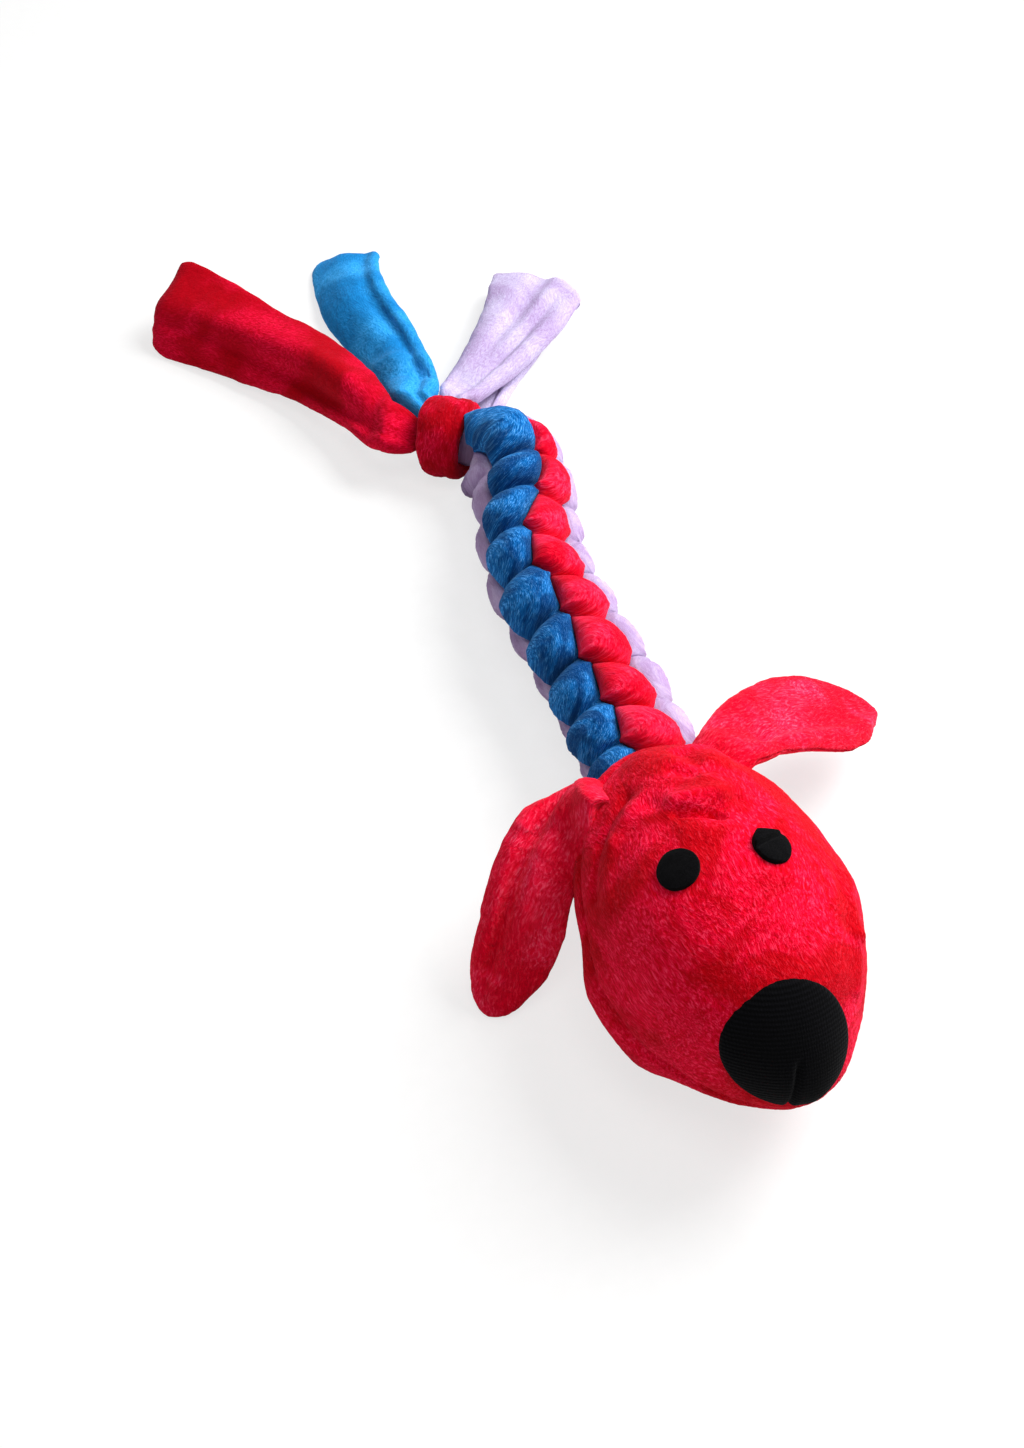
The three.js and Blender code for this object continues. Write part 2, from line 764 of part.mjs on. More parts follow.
function mouthCutter() {
  const rings = [];
  for (let i = -4; i <= stationsPerLayer * 2; i += 1) {
    const distance = (i * layerLength) / stationsPerLayer;
    const { point, side, up, along } = braidFrame(distance);
    const radius = drawnIn(distance, lowerLobeRadius) + seatGap;
    const tilt = Math.tan(radians(ringTiltDegrees));
    const ring = [];
    for (let j = 0; j < mouthSides; j += 1) {
      const angle = (2 * Math.PI * j) / mouthSides;
      const height = radius * Math.sin(angle);
      ring.push(
        point
          .clone()
          .addScaledVector(side, radius * Math.cos(angle))
          .addScaledVector(up, height)
          .addScaledVector(along, -tilt * height)
      );
    }
    rings.push(ring);
  }
  return solidOf(loft(rings));
}

const pocketChannelShare = 0.5;

function makeHead() {
  const group = new THREE.Group();
  const outer = onFloor(headEgg(0, headSides, headRings));
  const lift = blockBetween(farCorner, new THREE.Vector3(reach, reach, panelThickness));
  const inner = headEgg(-panelThickness, fillSides, fillRings).subtract(lift);
  const noseDirection = faceTurn(heading(180 + noseSideDegrees, noseTiltDegrees));
  const noseRod = rodFrom(headMiddle, noseDirection, noseDiameter, headSides);
  const noseHole = rodFrom(headMiddle, noseDirection, noseDiameter + 2 * seatGap, headSides);
  const mouth = mouthCutter();
  let cover = outer.subtract(inner).subtract(noseHole).subtract(mouth);
  for (const ear of Object.values(ears)) {
    cover = cover.subtract(earSeat(ear, 0));
  }
  group.add(part("face_panel", cover.intersect(aboveSeam(seatGap / 2)), redPlush));
  group.add(part("under_panel", cover.subtract(aboveSeam(-seatGap / 2)), redPlush));
  const noseShell = headEgg(noseProud, headSides, headRings).subtract(inner);
  group.add(part("nose_patch", noseShell.intersect(noseRod), blackKnit));

  // Felt eyes lie on the face and curve with it.
  const eyeOutside = headEgg(seatGap + eyeThickness, eyeShellSides, eyeShellRings);
  const eyeShell = eyeOutside.subtract(headEgg(seatGap, eyeShellSides, eyeShellRings));
  for (const [name, sign] of [["eye_left", 1], ["eye_right", -1]]) {
    const spot = new THREE.Vector3((sign * eyeSpacing) / 2, -eyeForward, headHalfHeight);
    const direction = faceTurn(spot).normalize();
    const eyeRod = rodFrom(headMiddle, direction, eyeDiameter, eyeSides);
    group.add(part(name, eyeShell.intersect(eyeRod), blackFelt));
  }

  // Stuffing fills the cover, with a pocket for the squeaker that was pushed in through the neck.
  const fillLift = blockBetween(farCorner, new THREE.Vector3(reach, reach, panelThickness + seatGap));
  const pocketRadius = squeakerDiameter / 2 + bendGap;
  const pocketHeight = squeakerHeight + 2 * bendGap;
  const pocket = new THREE.CylinderGeometry(pocketRadius, pocketRadius, pocketHeight, pocketSides);
  pocket.rotateX(Math.PI / 2);
  pocket.translate(0, squeakerForward, headAxisHeight);
  const channel = rodFrom(
    new THREE.Vector3(0, squeakerForward, headAxisHeight),
    new THREE.Vector3(0, 1, 0),
    squeakerHeight * pocketChannelShare,
    rodSides
  );
  const fill = headEgg(-panelThickness - seatGap, fillSides, fillRings)
    .subtract(fillLift)
    .subtract(mouth)
    .subtract(solidOf(pocket))
    .subtract(channel);
  group.add(part("head_stuffing", fill, fibreFill));
  return group;
}

// Squeaker: a soft plastic bellows with a reed in its floor, which sounds as air is pressed out through it
function makeSqueaker() {
  const group = new THREE.Group();
  const radius = squeakerDiameter / 2;
  const plugHole = reedPlugDiameter / 2 + seatGap;
  const ring = (points) => {
    const outline = points.map(([across, height]) => new THREE.Vector2(across, height));
    const geometry = new THREE.LatheGeometry([...outline, outline[0].clone()], squeakerSides);
    geometry.rotateX(Math.PI / 2);
    return geometry;
  };
  const baseTop = squeakerPlate;
  const base = ring([[plugHole, 0], [radius, 0], [radius, baseTop], [plugHole, baseTop]]);
  group.add(part("squeaker_base", solidOf(base), squeakerPlastic));

  // The bellows wall goes in and out once for each fold, and is open at both ends.
  const low = baseTop + seatGap;
  const high = squeakerHeight - squeakerPlate - seatGap;
  const outside = [];
  const inside = [];
  for (let i = 0; i <= squeakerFolds * 2; i += 1) {
    const height = low + ((high - low) * i) / (squeakerFolds * 2);
    const across = i % 2 === 0 ? radius - squeakerFoldDepth : radius;
    outside.push([across, height]);
    inside.unshift([across - squeakerWall * squeakerSlantShare, height]);
  }
  group.add(part("squeaker_bellows", solidOf(ring([...outside, ...inside])), squeakerPlastic));

  const top = new THREE.CylinderGeometry(radius - squeakerWall, radius, squeakerPlate, squeakerSides);
  top.rotateX(Math.PI / 2);
  top.translate(0, 0, squeakerHeight - squeakerPlate / 2);
  group.add(part("squeaker_top", solidOf(top), squeakerPlastic));

  const plugRadius = reedPlugDiameter / 2;
  const plug = ring([
    [reedBore / 2, 0],
    [plugRadius, 0],
    [plugRadius, reedPlugLength],
    [reedBore / 2, reedPlugLength],
  ]);
  group.add(part("squeaker_reed_plug", solidOf(plug), reedPlastic));
  const reed = new THREE.BoxGeometry(reedWidth, reedLength, reedThickness);
  reed.translate(0, 0, reedPlugLength + seatGap + reedThickness / 2);
  group.add(part("squeaker_reed", solidOf(reed), reedPlastic));

  group.position.set(0, squeakerForward, headAxisHeight - squeakerHeight / 2);
  return group;
}

function makeEars() {
  const group = new THREE.Group();
  const head = headEgg(seatGap, headSides, headRings);
  for (const [side, ear] of Object.entries(ears)) {
    const hinge = earHinge(ear);
    const path = drapedPath(ear, hinge);
    const clear = head.subtract(earSeat(ear, seatGap));
    const outer = solidOf(loft(earPanelRings(ear, hinge, path, 1))).subtract(clear);
    const lining = solidOf(loft(earPanelRings(ear, hinge, path, -1))).subtract(clear);
    group.add(part(`ear_${side}_outer`, onFloor(outer), redPlush));
    group.add(part(`ear_${side}_lining`, onFloor(lining), redPlush));
  }
  return group;
}

// Strands: each is cut at the bends into a root, a neck, a middle and a rear length.
const lengths = ["root", "neck", "middle", "rear"];

function makeBraid() {
  const group = new THREE.Group();
  const cutters = bendCutters();
  const sockets = Object.values(tails).map((tail) => {
    return ball(tailRoot(tail), tail.rootRadius + bendGap, rootBallSides, rootBallRings);
  });
  for (const name of neighbours) {
    const strand = onFloor(wholeStrand(name));
    lengths.forEach((length, i) => {
      let piece = strand;
      if (i < cutters.length) piece = piece.intersect(cutters[i].keepsHeadSide);
      if (i > 0) piece = piece.subtract(cutters[i - 1].leavesHeadSide);
      if (length === "rear") {
        for (const socket of sockets) {
          piece = piece.subtract(socket);
        }
      }
      group.add(part(`${name}_strand_${length}`, piece, columns[name].material));
    });
  }
  let wrap = onFloor(solidOf(wrapRing()));
  for (const socket of sockets) {
    wrap = wrap.subtract(socket);
  }
  group.add(part("red_knot_wrap", wrap, redPlush));
  return group;
}

function makeTails() {
  const group = new THREE.Group();
  for (const [name, tail] of Object.entries(tails)) {
    group.add(part(name, onFloor(tailSolid(tail)), tail.material));
  }
  return group;
}

const toy = new THREE.Group();
toy.add(makeHead(), makeSqueaker(), makeEars(), makeBraid(), makeTails());

export default toy;
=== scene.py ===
# A braided plush dog toy that squeaks, dressed for its portrait.
#
# The stuffed red head lies on a table with its nose towards the camera. A braid of four plush strands
# leaves it at the back, the red strand ties the braid off, and four flat tails lie behind the knot.
# Sizes are in millimetres and are turned into metres as each mesh is made.
import math

import bpy
import numpy as np
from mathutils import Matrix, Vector, noise


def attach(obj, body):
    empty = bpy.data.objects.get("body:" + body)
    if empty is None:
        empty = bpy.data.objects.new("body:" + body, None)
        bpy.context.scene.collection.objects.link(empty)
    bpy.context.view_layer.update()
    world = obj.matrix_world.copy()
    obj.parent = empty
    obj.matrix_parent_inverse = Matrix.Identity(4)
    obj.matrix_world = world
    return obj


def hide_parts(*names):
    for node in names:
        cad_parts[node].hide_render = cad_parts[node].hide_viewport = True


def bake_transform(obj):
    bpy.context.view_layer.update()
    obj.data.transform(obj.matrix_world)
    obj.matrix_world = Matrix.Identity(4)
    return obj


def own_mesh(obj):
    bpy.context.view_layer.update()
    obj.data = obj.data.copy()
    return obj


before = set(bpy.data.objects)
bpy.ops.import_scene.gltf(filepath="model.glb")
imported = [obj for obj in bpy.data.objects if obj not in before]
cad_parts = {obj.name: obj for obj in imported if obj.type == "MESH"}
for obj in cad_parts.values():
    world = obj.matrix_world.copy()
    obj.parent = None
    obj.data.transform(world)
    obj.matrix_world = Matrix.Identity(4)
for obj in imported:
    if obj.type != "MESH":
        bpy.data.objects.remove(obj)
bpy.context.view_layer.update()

mm = 0.001


# Table top, lamps and camera
# The table is a sheet of matt white card. A large soft lamp stands to the right, as a window does, and a
# weaker one hangs overhead and softens the shadows. The camera looks down over the nose.
card_white = "#f4f4f2"
card_bright = "#ffffff"
card_half_width = 2500
card_grain = 50 / 9
shadow_lightening = 0.72
sky_strength = 0.15
toy_middle = (0, 130, 20)
window_place = (640, 260, 720)
window_size = 620
window_power = 17.5
overhead_place = (-110, -80, 960)
overhead_size = 520
overhead_power = 2.4
camera_place = (-146.7, -222.8, 423.6)
camera_tilt_degrees = 41
camera_turn_degrees = -20.5
camera_lens = 41.02
camera_sensor_width = 36


def linear(hex_colour):
    """A colour written as sRGB hex, as the four linear values that a shader takes."""
    parts = [int(hex_colour[i:i + 2], 16) / 255 for i in (1, 3, 5)]
    return tuple(c / 12.92 if c <= 0.04045 else ((c + 0.055) / 1.055) ** 2.4 for c in parts) + (1.0,)


def add(tree, kind, inputs=None, **settings):
    """A node with its settings. Each input is a value or another node's output."""
    node = tree.nodes.new(kind)
    for name, value in settings.items():
        setattr(node, name, value)
    for name, value in (inputs or {}).items():
        if isinstance(value, bpy.types.NodeSocket):
            tree.links.new(value, node.inputs[name])
        else:
            node.inputs[name].default_value = value
    return node


def new_material(name):
    """An empty material and its node tree."""
    material = bpy.data.materials.new(name)
    material.use_nodes = True
    material.node_tree.nodes.clear()
    return material, material.node_tree


def placed(name, data):
    """A new object in the scene, made from a mesh, a lamp or a camera."""
    thing = bpy.data.objects.new(name, data)
    bpy.context.scene.collection.objects.link(thing)
    return thing


def lamp(name, place, size, power):
    """A square soft lamp that faces the toy's middle."""
    data = bpy.data.lights.new(name, "AREA")
    data.size = size * mm
    data.energy = power
    thing = placed(name, data)
    thing.location = Vector(place) * mm
    direction = Vector(toy_middle) * mm - thing.location
    thing.rotation_euler = direction.to_track_quat("-Z", "Y").to_euler()


matt_card, tree = new_material("matt_white_card")
# Matt card: no shine, and a white that is the picture's background.
grain = add(tree, "ShaderNodeTexNoise", {"Scale": 2 * card_half_width / card_grain, "Detail": 2.0})
tint = add(tree, "ShaderNodeMix", {
    "Factor": grain.outputs["Fac"], 6: linear(card_white), 7: linear(card_bright)}, data_type="RGBA")
card_shader = add(tree, "ShaderNodeBsdfDiffuse", {"Color": tint.outputs[2]})
glow = add(tree, "ShaderNodeEmission", {"Color": (1, 1, 1, 1), "Strength": 1.0})
path = add(tree, "ShaderNodeLightPath")
lightened = add(tree, "ShaderNodeMath", {
    0: path.outputs["Is Camera Ray"], 1: shadow_lightening}, operation="MULTIPLY")
seen_card = add(tree, "ShaderNodeMixShader", {
    0: lightened.outputs[0], 1: card_shader.outputs[0], 2: glow.outputs[0]})
add(tree, "ShaderNodeOutputMaterial", {"Surface": seen_card.outputs[0]})
table_mesh = bpy.data.meshes.new("table_card")
w = card_half_width * mm
table_mesh.from_pydata([(-w, -w, 0), (w, -w, 0), (w, w, 0), (-w, w, 0)], [], [(0, 1, 2, 3)])
table_mesh.materials.append(matt_card)
placed("table_card", table_mesh)

lamp("window_lamp", window_place, window_size, window_power)
lamp("overhead_lamp", overhead_place, overhead_size, overhead_power)

world = bpy.data.worlds.new("studio")
world.use_nodes = True
tree = world.node_tree
tree.nodes.clear()
path = add(tree, "ShaderNodeLightPath")
seen = add(tree, "ShaderNodeMath", {
    0: path.outputs["Is Camera Ray"], 1: path.outputs["Is Glossy Ray"]}, operation="MAXIMUM")
seen = add(tree, "ShaderNodeMath", {
    0: seen.outputs[0], 1: path.outputs["Is Transmission Ray"]}, operation="MAXIMUM")
dim = add(tree, "ShaderNodeBackground", {"Color": (1, 1, 1, 1), "Strength": sky_strength})
bright = add(tree, "ShaderNodeBackground", {"Color": (1, 1, 1, 1), "Strength": 1.0})
both = add(tree, "ShaderNodeMixShader", {0: seen.outputs[0], 1: dim.outputs[0], 2: bright.outputs[0]})
add(tree, "ShaderNodeOutputWorld", {"Surface": both.outputs[0]})
bpy.context.scene.world = world

camera_data = bpy.data.cameras.new("camera")
camera_data.lens = camera_lens
camera_data.sensor_width = camera_sensor_width
camera = placed("camera", camera_data)
camera.location = Vector(camera_place) * mm
camera.rotation_euler = (math.radians(camera_tilt_degrees), 0, math.radians(camera_turn_degrees))
bpy.context.scene.camera = camera
bpy.context.scene.view_settings.view_transform = "Standard"


# Head cover
# A short-pile plush cover over firm fibre: a face panel and an under panel, sewn together right round the
# cheeks. Both are one mesh here. The seam pulls it in, and the stuffing shows as soft folds at the brow.
head_front = 55
head_rear = 63
head_half_width = 38
head_half_height = 37.5
head_axis_height = 36
front_taper_power = 0.62
rear_taper_power = 0.5
head_rings = 250
head_sides = 290
meridian_steps = 721
ring_spread_power = 0.9
table_softness = 1.2
table_gap = 0.15
red_dye = {"base": "#d00012", "lit": "#ff0c42", "shade": "#98000a", "tip": "#ff6a8a"}

# The seam: where it lies, its groove, and the swelling on both sides of it
seam_height = 42
seam_rise_degrees = 15
seam_roll_degrees = 8
seam_depth = 1.2
seam_width = 1.4
seam_swelling = 0.5
seam_swelling_offset = 4.5
seam_swelling_width = 3

# Lumps of stuffing, puckers along the seam, and the pile: height, grain and seed of each layer
head_lumps = ((0.8, 26, 3.1), (0.4, 11, 8.7))
seam_puckers = ((0.35, 4, 15.2),)
head_pile = ((0.16, (1.3, 3.2, 1.3), 5.5), (0.1, (0.8, 1.6, 0.8), 9.9))

# Folds and darts: height, where each starts and ends, and width
brow_folds = (
    (-3.3, (-8.3, 18.6, 71), (-1, 14.6, 72.6), 1.3), (-2.4, (-1, 14.6, 72.6), (1.2, 12.2, 72.8), 1.2),
    (-1.3, (1, 15.5, 72.4), (8.6, 17.5, 71), 1.7), (2.3, (-7, 22.5, 70.6), (4, 19.5, 71.4), 3.6),
    (1.5, (4, 26, 69.6), (9, 22, 69.8), 5), (1.0, (-9, 11, 72), (3, 7, 73), 4))
crown_folds = (
    (-1.1, (-16, 36, 62), (-12, 25, 68.3), 3), (1.6, (8, 34, 66), (14, 28, 65.5), 6),
    (-1.3, (3, 42, 63.5), (6, 31, 68.5), 2.3), (1.7, (-5, 45, 61), (-2, 40, 64), 6),
    (1.5, (10, 43, 61), (12, 38, 63), 5), (-1.2, (-2.5, 34, 67.4), (1.5, 30, 68.6), 1.8))
panel_edge_folds = (
    (-1.5, (-17, 35, 62.4), (-27.8, 26.5, 56.2), 1.4), (-1.3, (-27.8, 26.5, 56.2), (-34.2, 13.9, 49.7), 1.4),
    (1.2, (-14, 31, 65.5), (-25.5, 22, 60), 2.6), (0.9, (-25.5, 22, 60), (-32, 9, 54), 2.8))
cheek_folds = (
    (4.6, (-36.5, -2, 27), (-32, -19, 22), 11), (-2.2, (31, -24, 45), (22, -42, 35), 11),
    (1.3, (29.5, -9, 58.5), (25, -26, 56.5), 2.2), (1.1, (25, -26, 56.5), (18.8, -38.6, 52), 2.2),
    (-0.9, (32, -9, 55), (28, -27, 52.5), 1.8), (-0.7, (26, -8, 62), (21.5, -26, 60), 1.8))

# The braid's axis, which the cover closes round: its bearings are given at the layer boundaries, from the
# head to the knot. The braid is drawn in over its first and last layers.
layer = 21.6
layer_count = 9
braid_length = layer * layer_count
braid_bearings = [12, 8, 3, -1, -2, 1, 14, 19, 4, -54]
braid_start = np.array([3.0, 54.0, 0.0])
braid_axis_height = 20
neck_rise = 9
neck_drop_shares = [1, 0.45, 0.12, 0]
neck_drop_layers = 3
neck_radius = 18
neck_gather_layers = 1.1
knot_gather_layers = 0.9
knot_gather_gap = 1.2
knot_throat_radius = 11.8
knot_slope_layers = 2
wrap_outer_radius = 17.6
wrap_sink = 0.4
wrap_axis_height = wrap_outer_radius - wrap_sink
walk_steps = 60

# The cover's hole for the braid, and how far back and how much narrower its edge turns in there
hole_front = 30
hole_radius = 21
hole_overlap = 0.5
hole_reach = 30
hole_steps = 61
cover_turn_in = ((1.2, 0.015), (3, 0.036), (6, 0.06), (10, 0.09))


def table_at(table, share):
    """A value from a table of stations that are evenly spaced from 0 to 1."""
    return np.interp(np.clip(share, 0, 1) * (len(table) - 1), range(len(table)), table)


def heading(bearing_degrees, pitch_degrees=0.0):
    """Directions: a bearing turns from +Y towards +X, a pitch lifts from the level."""
    bearing = np.radians(bearing_degrees)
    pitch = np.radians(pitch_degrees)
    level = np.cos(pitch)
    return np.stack([np.sin(bearing) * level, np.cos(bearing) * level, np.sin(pitch) + 0 * bearing], axis=-1)


def walk(start, length, bearings, pitches, shares):
    """Points on a path that leaves its start with bearings and pitches taken from tables."""
    middles = (np.arange(walk_steps) + 0.5) / walk_steps
    steps = heading(table_at(bearings, middles), table_at(pitches, middles)) * length / walk_steps
    stops = np.vstack([start, start + np.cumsum(steps, axis=0)])
    place = np.clip(shares, 0, 1) * walk_steps
    return np.stack([np.interp(place, range(walk_steps + 1), stops[:, i]) for i in range(3)], axis=-1)


def braid_frame(distance):
    """Point, side and along directions on the braid's axis at distances from the neck."""
    distance = np.asarray(distance, float)
    share = distance / braid_length
    along = heading(table_at(braid_bearings, share))
    inside = np.clip(share, 0, 1)
    point = walk(braid_start, braid_length, braid_bearings, [0, 0], inside)
    point = point + along * (distance - inside * braid_length)[..., None]
    drop = table_at(neck_drop_shares, distance / (neck_drop_layers * layer))
    lift = np.where(distance > 0, drop, 1.0)
    knot = np.clip((distance / layer - layer_count) / knot_slope_layers + 1, 0, 1)
    point[..., 2] = braid_axis_height + neck_rise * lift + (wrap_axis_height - braid_axis_height) * knot
    side = np.stack([along[..., 1], -along[..., 0], 0 * share], axis=-1)
    return point, side, along


def drawn_in(distance, radius):
    """The braid is drawn in where it enters the head and the knot."""
    from_neck = np.clip(distance / (layer * neck_gather_layers), 0, 1)
    from_knot = np.clip((braid_length - knot_gather_gap - distance) / (layer * knot_gather_layers), 0, 1)
    neck = neck_radius + (radius - neck_radius) * np.sqrt(from_neck)
    knot = knot_throat_radius + (radius - knot_throat_radius) * np.sqrt(from_knot)
    return np.minimum(neck, knot)


def head_swell(reached):
    """How wide the head is at a place along it, from -1 at the nose to 1 at the back."""
    power = np.where(reached < 0, front_taper_power, rear_taper_power)
    return np.maximum(1 - reached * reached, 0) ** power


def ridge(offset, width):
    """1 on a line and falling away to 0 over a width on both sides of it."""
    return np.exp(-((offset / width) ** 2))


def folded(points, folds):
    """Heights of folds that run straight from a start to an end."""
    heights = np.zeros(points.shape[:-1])
    for height, start, end, width in folds:
        start = np.array(start, float)
        line = np.array(end, float) - start
        share = np.clip((points - start) @ line / (line @ line), 0, 1)
        heights += height * ridge(np.linalg.norm(points - (start + share[..., None] * line), axis=-1), width)
    return heights


def grainy(points, size, seed):
    """Smooth noise from -1 to 1 at points in mm, with grains of about that size."""
    stretched = points / np.asarray(size, float) + seed
    return np.array([noise.noise(Vector(p)) for p in stretched.reshape(-1, 3)]).reshape(points.shape[:-1])


def lumpy(points, layers, seed_shift=0):
    """Heights of layers of smooth noise: height, grain and seed of each."""
    return sum(height * grainy(points, grain, seed + seed_shift) for height, grain, seed in layers)


def facing(rings):
    """Outward directions over a closed sleeve of rings."""
    down = np.gradient(rings, axis=0)
    around = np.roll(rings, -1, axis=1) - np.roll(rings, 1, axis=1)
    out = np.cross(around, down)
    out /= np.maximum(np.linalg.norm(out, axis=-1, keepdims=True), 1e-9)
    middle = rings.mean(axis=1, keepdims=True)
    return out if np.sum(out * (rings - middle)) > 0 else -out


def on_table(rings):
    """What would sink into the table is pressed flat on it."""
    z = rings[..., 2] - table_gap
    rings[..., 2] = table_gap + 0.5 * (z + np.sqrt(z * z + table_softness * table_softness))
    return rings


def triples(items, name):
    """One of the vectors that each vertex has, as an array with a row for each."""
    values = np.zeros(len(items) * 3)
    items.foreach_get(name, values)
    return values.reshape(-1, 3)


def signed_volume(mesh):
    """Six times the volume inside a closed mesh, negative where its faces point inwards."""
    mesh.calc_loop_triangles()
    corners = np.zeros(len(mesh.loop_triangles) * 3, int)
    mesh.loop_triangles.foreach_get("vertices", corners)
    a, b, c = triples(mesh.vertices, "co")[corners].reshape(-1, 3, 3).transpose(1, 0, 2)
    return float(np.sum(a * np.cross(b, c)))


def skin(name, points, faces, nap, material):
    """A smooth mesh from points in mm, with its faces out and its nap's pattern kept on its points."""
    mesh = bpy.data.meshes.new(name)
    mesh.from_pydata((points * mm).tolist(), [], faces)
    pattern = mesh.attributes.new("nap", "FLOAT_VECTOR", "POINT")
    pattern.data.foreach_set("vector", nap.astype(np.float32).ravel())
    mesh.materials.append(material)
    mesh.polygons.foreach_set("use_smooth", [True] * len(mesh.polygons))
    if signed_volume(mesh) < 0:
        mesh.flip_normals()
    return placed(name, mesh)


def sleeve(name, rings, pile, material):
    """A closed skin through rings with equal numbers of points. Pile is where the nap's pattern is read."""
    count, size = rings.shape[:2]
    points = np.vstack([rings.reshape(-1, 3), rings[0].mean(axis=0), rings[-1].mean(axis=0)])
    nap = np.vstack([pile.reshape(-1, 3), pile[0].mean(axis=0), pile[-1].mean(axis=0)])
    first = np.arange((count - 1) * size)
    following = first - first % size + (first % size + 1) % size
    faces = np.stack([first, following, following + size, first + size], axis=1).tolist()
    near, far = count * size, count * size + 1
    last = (count - 1) * size
    for j in range(size):
        faces.append((near, (j + 1) % size, j))
        faces.append((far, last + j, last + (j + 1) % size))
    return skin(name, points, faces, nap, material)


def plush(name, dye, streak=(0.6, 2.3, 0.6), patch_size=24, fluff=0.5, sway=5.0, relief_share=0.75):
    """Knitted polyester plush with a short sheared pile: its fibres lie in changing directions, and catch
    the light in fine streaks. Where it has been stroked the other way, soft patches look lighter.
    A streak, a patch and the sway of the pile are in mm, and fluff is how many pale tips show."""
    sway_spacing = 21
    tufts_per_mm = 0.3
    relief_depth = 0.8
    material, tree = new_material(name)
    nap = add(tree, "ShaderNodeAttribute", attribute_name="nap", attribute_type="GEOMETRY")
    place = nap.outputs["Vector"]

    # The pile's directions drift, so that its streaks are not parallel.
    drift = add(tree, "ShaderNodeTexNoise", {"Vector": place, "Scale": 1 / sway_spacing, "Detail": 1.0})
    offset = add(tree, "ShaderNodeVectorMath", {
        0: drift.outputs["Color"], 1: (0.5, 0.5, 0.5)}, operation="SUBTRACT")
    swayed = add(tree, "ShaderNodeVectorMath", {
        0: offset.outputs[0], 1: (2 * sway,) * 3, 2: place}, operation="MULTIPLY_ADD")
    lie = add(tree, "ShaderNodeMapping", {
        "Vector": swayed.outputs[0], "Scale": [1 / length for length in streak]})
    fibres = add(tree, "ShaderNodeTexNoise", {
        "Vector": lie.outputs[0], "Scale": 1.0, "Detail": 4.0, "Roughness": 0.65, "Distortion": 0.5})
    streaks = add(tree, "ShaderNodeMapRange", {
        "Value": fibres.outputs["Fac"], "From Min": 0.38, "From Max": 0.62})

    # Patches where the pile stands the other way are lit, and between them the dye looks deeper.
    stroked = add(tree, "ShaderNodeTexNoise", {
        "Vector": place, "Scale": 1 / patch_size, "Detail": 2.0, "Roughness": 0.5, "Distortion": 0.7})
    patches = add(tree, "ShaderNodeMapRange", {
        "Value": stroked.outputs["Fac"], "From Min": 0.4, "From Max": 0.62}, interpolation_type="SMOOTHSTEP")
    deep_share = add(tree, "ShaderNodeMapRange", {"Value": streaks.outputs[0], "To Min": 0.45, "To Max": 1.0})
    deep = add(tree, "ShaderNodeMix", {
        "Factor": deep_share.outputs[0], 6: linear(dye["shade"]), 7: linear(dye["base"])}, data_type="RGBA")
    lifted = add(tree, "ShaderNodeMix", {
        "Factor": streaks.outputs[0], 6: linear(dye["base"]), 7: linear(dye["lit"])}, data_type="RGBA")
    body = add(tree, "ShaderNodeMix", {
        "Factor": patches.outputs[0], 6: deep.outputs[2], 7: lifted.outputs[2]}, data_type="RGBA")

    # Pale tips stand out of the pile, most of all in the lit patches.
    tips = add(tree, "ShaderNodeMapRange", {
        "Value": fibres.outputs["Fac"], "From Min": 0.53, "From Max": 0.7, "To Max": fluff})
    standing = add(tree, "ShaderNodeMapRange", {"Value": patches.outputs[0], "To Min": 0.35, "To Max": 1.0})
    tip_share = add(tree, "ShaderNodeMath", {
        0: tips.outputs[0], 1: standing.outputs[0]}, operation="MULTIPLY")
    colour = add(tree, "ShaderNodeMix", {
        "Factor": tip_share.outputs[0], 6: body.outputs[2], 7: linear(dye["tip"])}, data_type="RGBA")

    tufts = add(tree, "ShaderNodeTexNoise", {
        "Vector": swayed.outputs[0], "Scale": tufts_per_mm, "Detail": 2.0, "Distortion": 0.8})
    relief = add(tree, "ShaderNodeMath", {
        0: tufts.outputs["Fac"], 1: 0.8, 2: fibres.outputs["Fac"]}, operation="MULTIPLY_ADD")
    bump = add(tree, "ShaderNodeBump", {
        "Strength": relief_share, "Distance": relief_depth * mm, "Height": relief.outputs[0]})
    shader = add(tree, "ShaderNodeBsdfPrincipled", {
        "Base Color": colour.outputs[2], "Normal": bump.outputs[0], "Roughness": 0.95,
        "Specular IOR Level": 0.04, "Sheen Weight": 0.22, "Sheen Roughness": 0.4,
        "Sheen Tint": linear(dye["tip"])})
    add(tree, "ShaderNodeOutputMaterial", {"Surface": shader.outputs[0]})
    return material


seam_roll = math.radians(-seam_roll_degrees)
seam_rise = math.radians(seam_rise_degrees)
seam_normal = np.array([
    math.sin(seam_roll),
    -math.cos(seam_roll) * math.sin(seam_rise),
    math.cos(seam_roll) * math.cos(seam_rise)])

# Each meridian of the cover runs from the nose to the back, and stops where it meets the braid.
theta = np.linspace(0, 2 * math.pi, head_sides, endpoint=False)
beta = np.linspace(0.0, math.pi, meridian_steps)
reached = -np.cos(beta)[:, None] + 0 * theta
swell = head_swell(reached)
fine = np.stack([
    head_half_width * swell * np.cos(theta),
    reached * np.where(reached < 0, head_front, head_rear),
    head_axis_height + head_half_height * swell * np.sin(theta)], axis=-1)
hole_distance = np.linspace(-hole_reach, hole_reach, hole_steps)
hole_points, _, hole_along = braid_frame(hole_distance)
away = np.linalg.norm(fine[:, :, None, :] - hole_points, axis=-1)
hole_edge = drawn_in(hole_distance, hole_radius)[away.argmin(axis=2)] + hole_overlap
inside_braid = (away.min(axis=2) < hole_edge) & (fine[..., 1] > hole_front)
stop = np.where(inside_braid.any(axis=0), inside_braid.argmax(axis=0), meridian_steps - 1)
